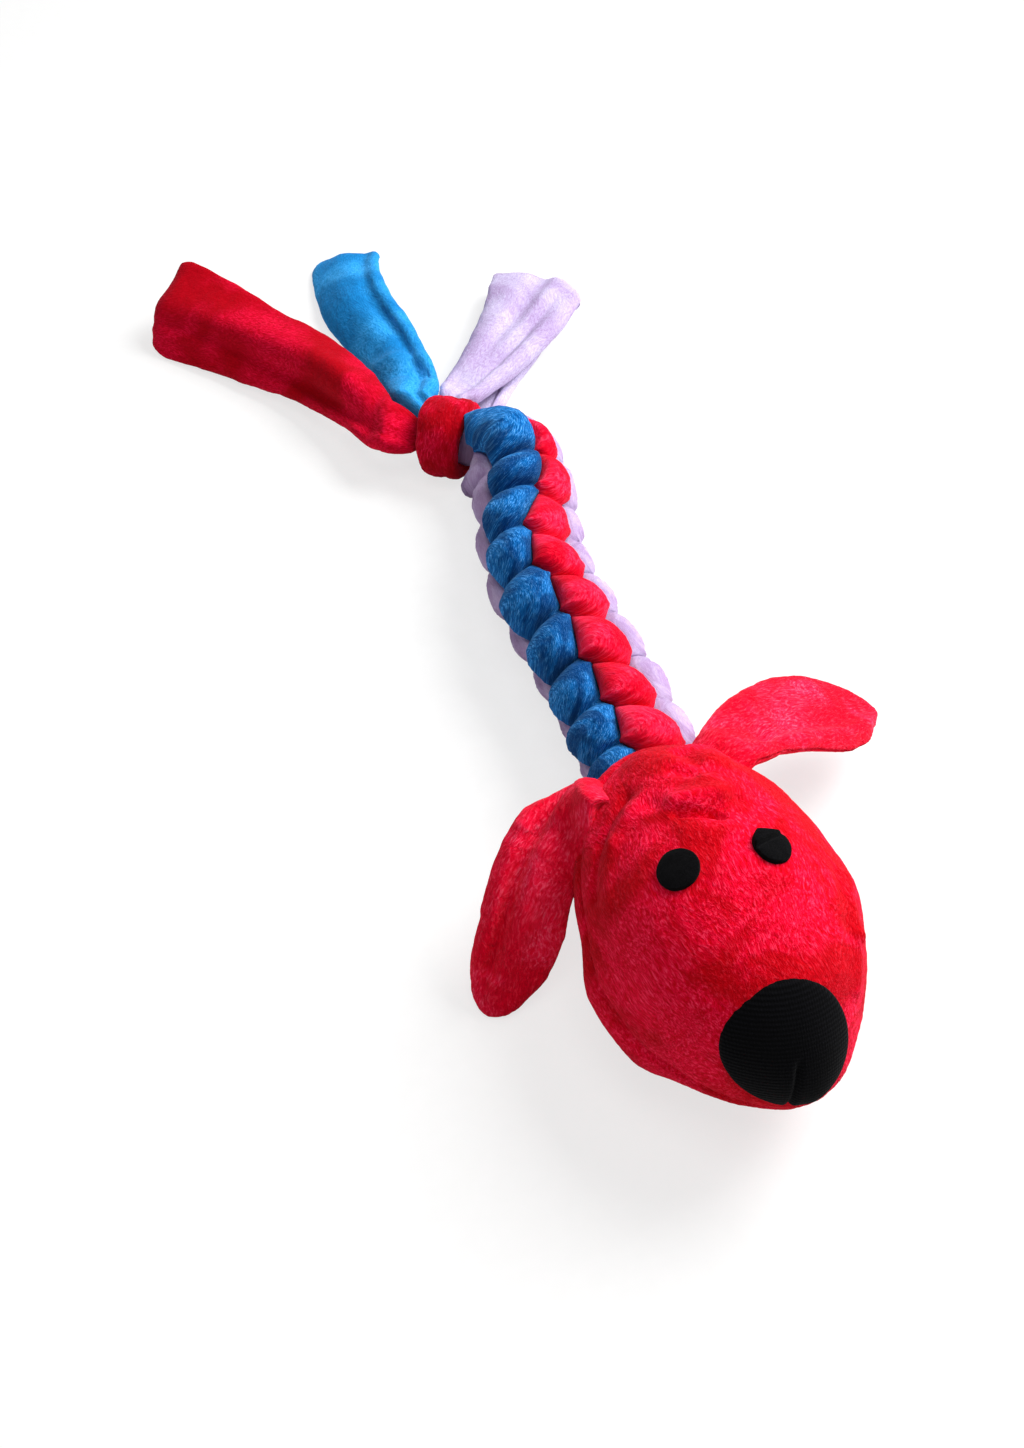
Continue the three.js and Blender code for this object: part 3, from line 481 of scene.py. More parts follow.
place = np.linspace(0, 1, head_rings)[:, None] ** ring_spread_power * stop
low = np.minimum(place.astype(int), meridian_steps - 2)
part_way = (place - low)[..., None]
columns = np.arange(head_sides)
cover = fine[low, columns] * (1 - part_way) + fine[low + 1, columns] * part_way

# Stuffing, seam, folds and pile stand out of it.
seam_off = (cover - [0, 0, seam_height]) @ seam_normal
seam = (seam_swelling * ridge(np.abs(seam_off) - seam_swelling_offset, seam_swelling_width)
        - seam_depth * ridge(seam_off, seam_width) * (1 + lumpy(cover, seam_puckers)))
folds = folded(cover, brow_folds + crown_folds + panel_edge_folds + cheek_folds)
relief = lumpy(cover, head_lumps + head_pile) + seam + folds
cover = cover + facing(cover) * relief[..., None]

# The cover's edge turns in along the braid.
neck = hole_steps // 2
rim = cover[-1]
turned_in = [rim - hole_along[neck] * back + (hole_points[neck] - rim) * draw for back, draw in cover_turn_in]
cover = on_table(np.concatenate([cover, np.array(turned_in)]))
red_head_plush = plush("red_head_plush", red_dye, patch_size=20, fluff=0.34)
head_cover = sleeve("head_cover", cover, cover, red_head_plush)
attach(head_cover, "head")
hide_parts("face_panel", "under_panel")


# Nose
# A round of black ribbed knit, sewn into the cover and stuffed with it. A dart below its middle makes it
# round, and pulls a small notch into its lower edge.
nose_diameter = 33.5
nose_tilt_degrees = 16.5
nose_side_degrees = 4.5
face_roll_degrees = 5
nose_rings = 60
nose_sides = 200
nose_stand = 1.0
nose_dome = 1.5
dart_depth = 1.3
dart_width = 0.9
dart_offset = 0.9
dart_slant = 0.12
dart_top = 0.5
dart_fade = 4
rib_spacing = 1.05
rib_height = 0.08
rib_fade = 12
stitch_spacing = math.pi / 4.2
lint_size = 0.625
worn_patch = 100 / 9
thread_relief = 0.35
knit_black = "#030304"
knit_ridge = "#141418"
# How far out and down the patch's edge rolls into the cover
nose_edge = ((0.25, 0.5), (0.3, 1.4), (-0.4, 2.6), (-3, 3.2))
# The outline's bumps: height as a share of the radius, and the place and width in radians
dart_place = -math.radians(97)
nose_bump_shares = ((-0.03, dart_place, 0.08), (0.035, dart_place, 0.4), (-0.035, 0.85, 0.45))
nose_wobble_share = 0.008
head_middle = np.array([0, 0, head_axis_height])
longest_rod = 80.0
rod_halvings = 30


def face_turn(vector):
    """A direction turned with the face, which lies rolled a little on its left."""
    roll = math.radians(-face_roll_degrees)
    x, y, z = vector
    return np.array([x * math.cos(roll) + z * math.sin(roll), y, -x * math.sin(roll) + z * math.cos(roll)])


def on_head(starts, direction):
    """Where rods that start inside the head and run along a direction come out of its surface."""
    low = np.zeros(starts.shape[:-1])
    high = np.full(starts.shape[:-1], longest_rod)
    for _ in range(rod_halvings):
        middle = (low + high) / 2
        spot = starts + middle[..., None] * direction
        reached = np.clip(spot[..., 1] / np.where(spot[..., 1] < 0, head_front, head_rear), -1, 1)
        wide = np.hypot(spot[..., 0] / head_half_width, (spot[..., 2] - head_axis_height) / head_half_height)
        outside = wide > head_swell(reached)
        high = np.where(outside, middle, high)
        low = np.where(outside, low, middle)
    return starts + low[..., None] * direction


def unit(vectors):
    """Vectors made one long."""
    return vectors / np.maximum(np.linalg.norm(vectors, axis=-1, keepdims=True), 1e-12)


def patch(direction, across, upwards, radius, rings, sides, outline, narrow=1.0):
    """Points of a round patch on the head: their places, how far out they are, and their flat places."""
    share = np.linspace(0, 1, rings)[:, None]
    turn = np.linspace(0, 2 * math.pi, sides, endpoint=False)[None, :]
    edge = radius * outline(turn)
    flat_x = share * edge * np.cos(turn) * narrow
    flat_y = share * edge * np.sin(turn)
    starts = head_middle + flat_x[..., None] * across + flat_y[..., None] * upwards
    return on_head(starts, direction), share + 0 * turn, flat_x, flat_y


def nose_outline(turn):
    """Round, with a notch where the dart meets the edge."""
    edge = 1 + nose_wobble_share * np.sin(3 * turn + 1)
    for height, place, width in nose_bump_shares:
        edge = edge + height * ridge(np.angle(np.exp(1j * (turn - place))), width)
    return edge


nose_direction = face_turn(heading(180 + nose_side_degrees, nose_tilt_degrees))
nose_across = unit(np.cross(nose_direction, [0, 0, 1.0]))
nose_upwards = np.cross(nose_across, nose_direction)
spots, share, flat_x, flat_y = patch(
    nose_direction, nose_across, nose_upwards, nose_diameter / 2, nose_rings, nose_sides, nose_outline)
dart = ridge(flat_x + dart_slant * flat_y + dart_offset, dart_width)
dart = dart * np.clip((dart_top - flat_y) / dart_fade, 0, 1)
ribs = np.cos(2 * math.pi * flat_y / rib_spacing) * (1 - share ** 8) * np.clip(0.5 - flat_x / rib_fade, 0, 1)
dome = np.sqrt(np.maximum(1 - share ** 2, 0))
puff = nose_stand + nose_dome * dome - dart_depth * dart + rib_height * ribs
spots = spots + nose_direction * puff[..., None]
rows = list(spots[1:])
ray = unit(spots[-1] - spots[0].mean(axis=0))
for out, down in nose_edge:
    rows.append(spots[-1] + ray * out - nose_direction * down)
flat = np.stack([flat_x, flat_y, 0 * flat_x], axis=-1)[1:]
flat = np.concatenate([flat, np.repeat(flat[-1:], len(nose_edge), axis=0)])

knit, tree = new_material("black_ribbed_knit")
# Black cotton knit: matt, with wales about a millimetre apart that catch a little light on their ridges.
# A wave node's bands lie 2 pi / (20 * scale) apart, so each scale is worked out from its spacing.
nap = add(tree, "ShaderNodeAttribute", attribute_name="nap", attribute_type="GEOMETRY")
place = nap.outputs["Vector"]
ribs = add(tree, "ShaderNodeTexWave", {
    "Vector": place, "Scale": 2 * math.pi / (20 * rib_spacing), "Distortion": 0.8, "Detail": 2.0,
    "Detail Scale": 2.0}, wave_type="BANDS", bands_direction="Y", wave_profile="SIN")
stitches = add(tree, "ShaderNodeTexWave", {
    "Vector": place, "Scale": 2 * math.pi / (20 * stitch_spacing), "Distortion": 3.0, "Detail": 2.0},
    wave_type="BANDS", bands_direction="X", wave_profile="SIN")
lint = add(tree, "ShaderNodeTexNoise", {
    "Vector": place, "Scale": 1 / lint_size, "Detail": 5.0, "Roughness": 0.7})
worn = add(tree, "ShaderNodeTexNoise", {"Vector": place, "Scale": 1 / worn_patch, "Detail": 2.0})
height = add(tree, "ShaderNodeMath", {
    0: stitches.outputs["Fac"], 1: 0.4, 2: ribs.outputs["Fac"]}, operation="MULTIPLY_ADD")
mixed = add(tree, "ShaderNodeMath", {0: height.outputs[0], 1: lint.outputs["Fac"]}, operation="MULTIPLY")
thread = add(tree, "ShaderNodeMapRange", {"Value": mixed.outputs[0], "From Min": 0.2, "From Max": 0.9})
lit_share = add(tree, "ShaderNodeMath", {0: thread.outputs[0], 1: worn.outputs["Fac"]}, operation="MULTIPLY")
tone = add(tree, "ShaderNodeMix", {
    "Factor": lit_share.outputs[0], 6: linear(knit_black), 7: linear(knit_ridge)}, data_type="RGBA")
bump = add(tree, "ShaderNodeBump", {
    "Strength": 0.7, "Distance": thread_relief * mm, "Height": mixed.outputs[0]})
shader = add(tree, "ShaderNodeBsdfPrincipled", {
    "Base Color": tone.outputs[2], "Normal": bump.outputs[0], "Roughness": 0.95, "Specular IOR Level": 0.04,
    "Sheen Weight": 0.02, "Sheen Roughness": 0.5})
add(tree, "ShaderNodeOutputMaterial", {"Surface": shader.outputs[0]})
nose = sleeve("nose", np.array(rows), flat, knit)
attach(nose, "head")
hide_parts("nose_patch")


# Eyes
# Two discs of pressed black felt, cut by hand and stitched flat on the face. The left one's top edge has
# been folded down on itself.
eye_diameter = 11.8
eye_thickness = 1.3
eye_stand = 0.5
eye_edge_drop = 0.25
eye_fold_height = 1.9
eye_fold_slant = 0.3
eye_lip_height = 1.3
eye_lip_softness = 0.16
eye_crease_depth = 0.4
eye_crease_width = 0.5
eye_cut_share = 0.62
eye_cut_reach_share = 1.08
eye_rings = 26
eye_sides = 96
eye_lumps = ((0.15, 2.5, 2.2),)
felt_hairs_per_mm = 2.2
felt_relief = 0.3
felt_black = "#030304"
felt_hair = "#17171a"
# How far out and down the disc's edge turns, from its top to its underside
eye_edge = ((0.12, 0.3), (0.14, 0.75), (0.02, 1.2), (-1.2, 1.5))
eyes = {
    "eye_left": {"middle": (9.5, -1.1, 72.3), "narrow": 0.88, "folded": True},
    "eye_right": {"middle": (-15.8, 1.7, 70.1), "narrow": 1.0, "folded": False},
}

felt, tree = new_material("black_pressed_felt")
# Pressed wool felt: dead matt, a tangle of short fibres with the odd paler one.
nap = add(tree, "ShaderNodeAttribute", attribute_name="nap", attribute_type="GEOMETRY")
tangle = add(tree, "ShaderNodeTexNoise", {
    "Vector": nap.outputs["Vector"], "Scale": felt_hairs_per_mm, "Detail": 6.0, "Roughness": 0.75,
    "Distortion": 1.5})
hairs = add(tree, "ShaderNodeMapRange", {"Value": tangle.outputs["Fac"], "From Min": 0.45, "From Max": 0.8})
tone = add(tree, "ShaderNodeMix", {
    "Factor": hairs.outputs[0], 6: linear(felt_black), 7: linear(felt_hair)}, data_type="RGBA")
bump = add(tree, "ShaderNodeBump", {
    "Strength": 0.8, "Distance": felt_relief * mm, "Height": tangle.outputs["Fac"]})
shader = add(tree, "ShaderNodeBsdfPrincipled", {
    "Base Color": tone.outputs[2], "Normal": bump.outputs[0], "Roughness": 1.0, "Specular IOR Level": 0.02,
    "Sheen Weight": 0.02, "Sheen Roughness": 0.6})
add(tree, "ShaderNodeOutputMaterial", {"Surface": shader.outputs[0]})


def round_eye(turn):
    """Cut by hand, nearly round."""
    return 1 + 0.012 * np.sin(2 * turn + 0.5) + 0.008 * np.sin(5 * turn)


def folded_eye(turn):
    """The same, but the folded top edge ends at a straight line."""
    top = np.sin(turn + 0.25)
    straight = eye_cut_share / np.maximum(top, eye_cut_share) * eye_cut_reach_share
    return round_eye(turn) * np.where(top > eye_cut_share, straight, 1)


for eye_name, eye_plan in eyes.items():
    direction = unit(np.array(eye_plan["middle"]) - head_middle)
    outline = folded_eye if eye_plan["folded"] else round_eye
    to_crown = unit(np.array([0, 1.0, 0]) - direction * direction[1])
    spots, share, flat_x, flat_y = patch(
        direction, np.cross(to_crown, direction), to_crown, eye_diameter / 2, eye_rings, eye_sides, outline,
        eye_plan["narrow"])
    raised = eye_stand + eye_thickness + lumpy(spots, eye_lumps) - eye_edge_drop * share ** 6
    if eye_plan["folded"]:
        past_lip = flat_y - eye_fold_height - eye_fold_slant * flat_x
        lip = 1 / (1 + np.exp(-past_lip / eye_lip_softness))
        crease = ridge(past_lip + eye_crease_width, eye_crease_width)
        raised = raised + eye_lip_height * lip - eye_crease_depth * crease
    top = spots + direction * raised[..., None]
    ray = unit(spots[-1] - spots[0].mean(axis=0))
    extra = (raised[-1] - raised[-1].min())[:, None]
    rows = list(top[1:])
    for out, down in eye_edge:
        rows.append(top[-1] + ray * out - direction * (down + extra * down / eye_edge[-1][1]))
    rows = np.array(rows)
    eye = sleeve("felt_" + eye_name, rows, rows, felt)
    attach(eye, "head")
    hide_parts(eye_name)


# Stuffing and squeaker
# Polyester fibre fills the cover round a pocket, and in the pocket stands the squeaker: a thin bellows
# between two discs, with a reed in a plug in its floor. None of it shows from outside.
fluff_size = 1.6
filling_inset = 0.8
filling_lumps = ((0.7, 5, 4.4),)
fibre_cloud = 100 / 19
fibre_relief = 1.0
fibre_shade = "#d8d6cf"
fibre_white = "#fbfaf6"
peel_size = 10 / 9
tone_patch = 100 / 9
peel_relief = 0.1
plastic_ior = 1.53
plastics = (
    ("moulded_soft_pvc", ("squeaker_base", "squeaker_bellows", "squeaker_top"), "#ded8c8", "#efece2", 0.42),
    ("moulded_hard_styrene", ("squeaker_reed_plug", "squeaker_reed"), "#b9b29c", "#d2cdbd", 0.3),
)

fibre, tree = new_material("white_polyester_fibre")
# Loose polyester fibre: white and cloudy, with a soft sheen from its threads.
spot = add(tree, "ShaderNodeTexCoord")
clouds = add(tree, "ShaderNodeTexNoise", {
    "Vector": spot.outputs["Object"], "Scale": 1 / (fibre_cloud * mm), "Detail": 6.0, "Distortion": 1.0})
tone = add(tree, "ShaderNodeMix", {
    "Factor": clouds.outputs["Fac"], 6: linear(fibre_shade), 7: linear(fibre_white)}, data_type="RGBA")
bump = add(tree, "ShaderNodeBump", {
    "Strength": 0.8, "Distance": fibre_relief * mm, "Height": clouds.outputs["Fac"]})
shader = add(tree, "ShaderNodeBsdfPrincipled", {
    "Base Color": tone.outputs[2], "Normal": bump.outputs[0], "Roughness": 1.0, "Sheen Weight": 0.3})
add(tree, "ShaderNodeOutputMaterial", {"Surface": shader.outputs[0]})

filling = placed("head_filling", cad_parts["head_stuffing"].data.copy())
remesh = filling.modifiers.new("fluff_up", "REMESH")
remesh.mode = "VOXEL"
remesh.voxel_size = fluff_size * mm
bpy.context.view_layer.update()
fluffed = bpy.data.meshes.new_from_object(filling.evaluated_get(bpy.context.evaluated_depsgraph_get()))
filling.modifiers.clear()
filling.data = fluffed
spots = triples(fluffed.vertices, "co") / mm
spots += triples(fluffed.vertices, "normal") * (lumpy(spots, filling_lumps) - filling_inset)[:, None]
fluffed.vertices.foreach_set("co", (spots * mm).ravel())
fluffed.materials.clear()
fluffed.materials.append(fibre)
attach(filling, "head")
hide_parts("head_stuffing")

# The bellows is a copy with a mesh of its own, hung on the head.
bellows = placed("bellows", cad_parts["squeaker_bellows"].data.copy())
spots = triples(bellows.data.vertices, "co")
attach(bellows, "head")
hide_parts("squeaker_bellows")
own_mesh(bellows)

for material_name, nodes, warm, pale, rough in plastics:
    # Moulded plastic: a faint orange peel from the mould and a slow change of tone, with a soft gloss.
    plastic, tree = new_material(material_name)
    spot = add(tree, "ShaderNodeTexCoord")
    place = spot.outputs["Object"]
    peel = add(tree, "ShaderNodeTexNoise", {"Vector": place, "Scale": 1 / (peel_size * mm), "Detail": 2.0})
    drift = add(tree, "ShaderNodeTexNoise", {"Vector": place, "Scale": 1 / (tone_patch * mm), "Detail": 2.0})
    tone = add(tree, "ShaderNodeMix", {
        "Factor": drift.outputs["Fac"], 6: linear(warm), 7: linear(pale)}, data_type="RGBA")
    bump = add(tree, "ShaderNodeBump", {
        "Strength": 0.15, "Distance": peel_relief * mm, "Height": peel.outputs["Fac"]})
    shader = add(tree, "ShaderNodeBsdfPrincipled", {
        "Base Color": tone.outputs[2], "Normal": bump.outputs[0], "Roughness": rough, "IOR": plastic_ior})
    add(tree, "ShaderNodeOutputMaterial", {"Surface": shader.outputs[0]})
    for node in nodes:
        for material_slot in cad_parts[node].material_slots:
            material_slot.material = plastic
    if "squeaker_bellows" in nodes:
        bellows.data.materials.clear()
        bellows.data.materials.append(plastic)


# Ears
# Each ear is two panels of the same red plush, sewn round the edge, turned, and lightly stuffed. It is
# gathered into the head's seam at a narrow root. The left one stands out, the right one drapes to the table.
ear_length = 80
ear_half_width = 16
ear_panel_thickness = 4
ear_edge_thickness = 0.6
ear_root_half_width = 9.5
ear_root_start = 1.5
ear_seat_depth = 2.6
seat_gap = 0.3
ear_seat_radius = math.hypot(ear_root_start, ear_panel_thickness + seat_gap / 2) + seat_gap
ear_seam_depth = 0.5
ear_seam_width = 0.22
ear_width_shares = [0.8, 0.93, 1, 1, 0.9]
ear_turn_share = 0.25
ear_tip_width_share = 0.004
ear_tip_thickness_share = 0.03
ear_row_power = 1.5
ear_spread_power = 0.8
ear_belly_power = 0.55
fold_fade = 6
relief_fade = 30
ear_rows = 170
ear_points = 56
# A lighter copy of the head's red plush: painted light on the ears and the red strand.
lit_red_dye = {"base": "#e8022a", "lit": "#ff2c58", "shade": "#b40014", "tip": "#ff8098"}
ear_lumps = ((0.5, 12, 6.6), (0.3, 5, 1.6))
ear_pile = ((0.15, (1.3, 3.2, 1.3), 7.5), (0.1, (0.8, 1.6, 0.8), 2.9))

# How far back, how deep and how much narrower the root is in the head, from its end to the first ring
shoulder = (
    (4.6, 12, 0.3), (4.7, 8.4, 0.2), (4.4, 5.6, 0.12), (3.7, 3.2, 0.07), (2.6, 1.4, 0.03), (1.3, 0.4, 0.01))

# An ear is dropped until its tip lies on the table: how far it may turn, and how hard the tip presses
drop_limit_degrees = 40.0
drop_halvings = 22
drop_rows = 20
drop_points = 28
tip_press = 0.4

# A long fold's place and width are in half widths of the piece, and a cross fold's are in shares of its
# length. A bow is measured from the middle named here, and a wave runs through these radians.
fold_bow_middle = 0.45
fold_wave_radians = 5
ears = {
    "left": {
        "side": 21, "rear": 46, "drapes": False, "cup": 2, "chord": 1, "reach": 1.02,
        "bearings": [60, 66, 69, 71, 78], "pitches": [-15, -26, -31, -29, -24], "rolls": [0, 4, 8, 6, 0],
        "tip_start": 0.5, "tip_power": 2.0, "shift": [0, -0.6, -1.6, -2.4, -2.4, 0.8],
        "plus_edge": [1, 0.84, 0.94, 1.14, 1.2, 0.85], "minus_edge": [1.3, 1.16, 1.08, 1.08, 1.14, 1.45],
        # The near edge is raised, and a shallow dish runs down the middle.
        "long_folds": [dict(height=2.0, place=0.72, width=0.2, rise=3),
                       dict(height=-1.9, place=0.3, width=0.28, swell=1)],
        "cross_folds": [dict(height=-1.8, place=0.17, width=0.05, middle=0.3, half_length=0.5)],
    },
    "right": {
        "side": -20, "rear": 47, "drapes": True, "cup": 1, "chord": 0.88, "reach": 0.93,
        "bearings": [-108, -114, -136, -144, -136], "pitches": [-38, -32, -50, -58, -36],
        "rolls": [0, -10, -14, -12, -6],
        "tip_start": 0.66, "tip_power": 2.5, "shift": [0, 0, -0.6, -0.8, 0, 1.2],
        "plus_edge": [1.1, 1.1, 0.88, 0.78, 0.8, 0.8], "minus_edge": [1.25, 1.12, 1.08, 1.06, 0.95, 0.8],
        # A long fold runs from the root to the tip and leaves the outer edge lower.
        "long_folds": [dict(height=-4.0, place=0.3, width=0.17, bow=1.2, swell=1.05, swell_power=0.5),
                       dict(height=3.4, place=-0.1, width=0.26, bow=1.2, swell=1.05, swell_power=0.5),
                       dict(height=0.8, place=0.6, width=0.18, bow=1.2, swell=1.05, swell_power=0.5)],
        "cross_folds": [dict(height=-1.5, place=0.2, width=0.04, slant=0.12, domed=1)],
    },
}


def ear_hinge(ear):
    """The middle and the direction of an ear's root, on the head's seam."""
    reached = ear["rear"] / head_rear
    swell = (1 - reached ** 2) ** rear_taper_power
    height = head_half_height * swell * math.sqrt(1 - (ear["side"] / (head_half_width * swell)) ** 2)
    narrowing = 2 * rear_taper_power * reached * swell ** 2 / (head_rear * (1 - reached ** 2))
    normal = unit(np.array([ear["side"] / head_half_width ** 2, narrowing, height / head_half_height ** 2]))
    out = heading(ear["bearings"][0], ear["pitches"][0])
    point = np.array([ear["side"], ear["rear"], head_axis_height + height])
    return point + normal * (ear_seat_radius - ear_seat_depth), unit(np.cross(out, normal)), out, normal


def turned_about(vectors, axes, angles):
    """Vectors turned about axes by angles in radians."""
    cosine, sine = np.cos(angles)[..., None], np.sin(angles)[..., None]
    lengthwise = np.sum(axes * vectors, axis=-1, keepdims=True)
    return vectors * cosine + np.cross(axes, vectors) * sine + axes * lengthwise * (1 - cosine)


def fuller(wave, power):
    """A wave from -1 to 1 that is made fuller, so that a round section gets flatter sides."""
    return np.sign(wave) * np.abs(wave) ** power


def long_fold(across, share, height, place, width, slant=0, bow=0, wave=0, start=0, rise=0, swell=0,
              swell_power=1):
    """The height of a fold along a piece. Its line may slant, bow or wave, and it rises from a start or
    swells towards its middle."""
    line = place + slant * share - wave * np.sin(fold_wave_radians * share)
    line = line + bow * (share - fold_bow_middle) ** 2
    full = 1.0
    if rise:
        full = np.clip((share - start) * rise, 0, 1)
    elif swell:
        full = np.sin(math.pi * np.clip(swell * share, 0, 1)) ** swell_power
    return height * ridge(across - line, width) * full


def cross_fold(across, share, height, place, width, slant=0, tilt=0, domed=0, middle=0, half_length=None):
    """The height of a fold across a piece. It may slant, be higher on one side, and fade at its ends."""
    fold = height * ridge(share - place - slant * across, width)
    fold = fold * (1 - tilt + tilt * across) * (1 - domed * across ** 2)
    return fold if half_length is None else fold * ridge(across - middle, half_length)


def all_folds(across, share, piece):
    """The height of all the folds that a piece's plan gives."""
    long_folds = sum(long_fold(across, share, **fold) for fold in piece["long_folds"])
    return long_folds + sum(cross_fold(across, share, **fold) for fold in piece["cross_folds"])


def ear_skin(ear, drop, rows, points):
    """The rings of an ear: over the top from one edge to the other and back underneath. The nap's flat
    places, how far across and along each point is, and the upward directions come with them."""
    hinge, axis, out, normal = ear_hinge(ear)
    share = 1 - (1 - np.linspace(0, 1, rows)) ** ear_row_power
    pitches = [pitch - drop for pitch in ear["pitches"]]
    middle = walk(hinge + out * ear_root_start, ear_length * ear["reach"], ear["bearings"], pitches, share)
    along = heading(table_at(ear["bearings"], share), table_at(ear["pitches"], share))
    level = unit(np.stack([along[:, 1], -along[:, 0], 0 * share], axis=-1))
    turn = np.minimum(share / ear_turn_share, 1)
    side = axis * (1 - turn)[:, None] + level * turn[:, None]
    side = unit(side - along * np.sum(side * along, axis=1, keepdims=True))
    side = turned_about(side, along, np.radians(table_at(ear["rolls"], share)))
    up = np.cross(side, along)

    # How wide it is, from the gathered root to the rounded tip
    root = ear_root_half_width / ear_half_width
    body = np.maximum(table_at([root] + ear_width_shares, share), root)
    past = np.maximum(share - ear["tip_start"], 0) / (1 - ear["tip_start"])
    half = ear_half_width * body * np.sqrt(np.maximum(1 - past ** ear["tip_power"], ear_tip_width_share))
    half = half * (1 - (1 - ear["chord"]) * turn)

    # The section: thin at the sewn edges, plump between them, and cupped downwards
    round_turn = np.linspace(0, 2 * math.pi, points, endpoint=False)
    across = fuller(np.cos(round_turn), ear_spread_power)
    plump = np.sqrt(np.maximum(1 - across ** 4, 0))
    thick = ear_edge_thickness + (ear_panel_thickness - ear_edge_thickness) * plump
    tip = np.sqrt(np.maximum(1 - past ** 4, ear_tip_thickness_share))[:, None]
    cup = ear["cup"] * np.sin(math.pi * np.sqrt(share))
    lift = fuller(np.sin(round_turn), ear_belly_power) * thick * tip - cup[:, None] * (1 - across ** 2)
    edge = np.where(across > 0, table_at(ear["plus_edge"], share)[:, None],
                    table_at(ear["minus_edge"], share)[:, None])
    reach = half[:, None] * across * edge + table_at(ear["shift"], share)[:, None]
    rings = middle[:, None, :] + side[:, None, :] * reach[..., None] + up[:, None, :] * lift[..., None]
    flat = np.stack([reach, ear_length * share[:, None] + 0 * across, lift], axis=-1)
    return rings, flat, across + 0 * lift, share[:, None] + 0 * lift, up


# The ears wear the lighter red, which is painted light.
red_ear_plush = plush("red_ear_plush", lit_red_dye, patch_size=26, fluff=0.45)
for side_name, ear in ears.items():
    hinge, axis, out, normal = ear_hinge(ear)
    drop = 0.0
    if ear["drapes"]:
        low, high = -drop_limit_degrees, drop_limit_degrees
        for _ in range(drop_halvings):
            drop = (low + high) / 2
            lowest = ear_skin(ear, drop, drop_rows, drop_points)[0][..., 2].min()
            low, high = (drop, high) if lowest > -tip_press else (low, drop)
    rings, flat, across, share, up = ear_skin(ear, drop, ear_rows, ear_points)
    outward = facing(rings)
    top_side = np.sum(outward * up[:, None, :], axis=-1)
    # The folds fade near the tip, and all of the relief does at its very end.
    fold = all_folds(across, share, ear) * np.clip((1 - share) * fold_fade, 0, 1)
    relief = (np.maximum(top_side, 0) * fold - ear_seam_depth * ridge(top_side, ear_seam_width)
              + lumpy(rings, ear_lumps) + lumpy(flat, ear_pile))
    rings = rings + outward * (relief * np.clip((1 - share) * relief_fade, 0, 1))[..., None]
    # The root runs on into the head's seam.
    to_middle = rings[0].mean(axis=0) - rings[0]
    inside = [rings[0] - out * back - normal * deep + to_middle * draw for back, deep, draw in shoulder]
    pile = [flat[0] - [0, back + deep, 0] for back, deep, _ in shoulder]
    rings = np.concatenate([np.array(inside), rings])
    flat = np.concatenate([np.array(pile), flat])
    body = "ear_" + side_name
    ear_piece = sleeve(body, on_table(rings), flat, red_ear_plush)
    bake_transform(ear_piece)
    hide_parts(body + "_outer", body + "_lining")


# Braid
# Four stuffed plush strands, plaited round each other so that each shows as a row of plump cells. Each
# strand is made in three lengths that meet in a crease, one for each place where the braid bends.
upper_lobe = 21
blue_lobe = 22.4
left_lobe = 19.6
right_lobe = 21.4
valley_radius = 13.2
zigzag_degrees = 10
cell_peak_power = 0.92
pillow_power = 2.2
fullest_share = 1.15
chevron_shares = [0.16, -0.1, 0.12, 0.0, 0.16]
ring_tilt_degrees = 18
rows_per_layer = 38
fewest_rows = 8
arc_points = 46
wall_points = 7
hub_rise_share = 0.1
# The braid's blue is a darker copy of the blue plush: painted shade on a strand that faces away from the
# lamp.
shaded_blue_braid_dye = {"base": "#024486", "lit": "#1c84d8", "shade": "#002450", "tip": "#84c8fa"}
lilac_dye = {"base": "#b69ec8", "lit": "#c9b7dd", "shade": "#9a76ac", "tip": "#e2d6ee"}

# Where the strands are cut into lengths, and where the braid bends, both in layers from the head. The
# lengths stand a hair inside the creases, so that they don't share a face.
first_place = -0.55
cut_places = (2.6, 4.86)
crease_gap = 0.004
lengths = (
    {"name": "front", "bend": 1.55, "bodies": ("head", "braid_neck"), "stands_for": ("root",)},
    {"name": "middle", "bend": 3.6, "bodies": ("braid_neck", "braid_middle"), "stands_for": ("neck",)},
    {"name": "back", "bend": 6.1, "bodies": ("braid_middle", "braid_rear"), "stands_for": ("middle", "rear")},
)

# The cloth's fine folds, lumps and pile, and how much deeper the pile is near the head
strand_fold_depth = 0.5
strand_fold_grain = (7, 9, 7)
strand_fold_seed = 1.5
strand_lumps = ((0.45, 8, 4.1),)
strand_pile = ((0.3, (1.2, 2.6, 1.2), 5.7), (0.22, (0.8, 1.3, 0.8), 7.9))
valley_fade = 1.4
near_pile_share = 1.6
far_pile_share = 0.7
pile_fade_length = 60
pattern_step = 40.0

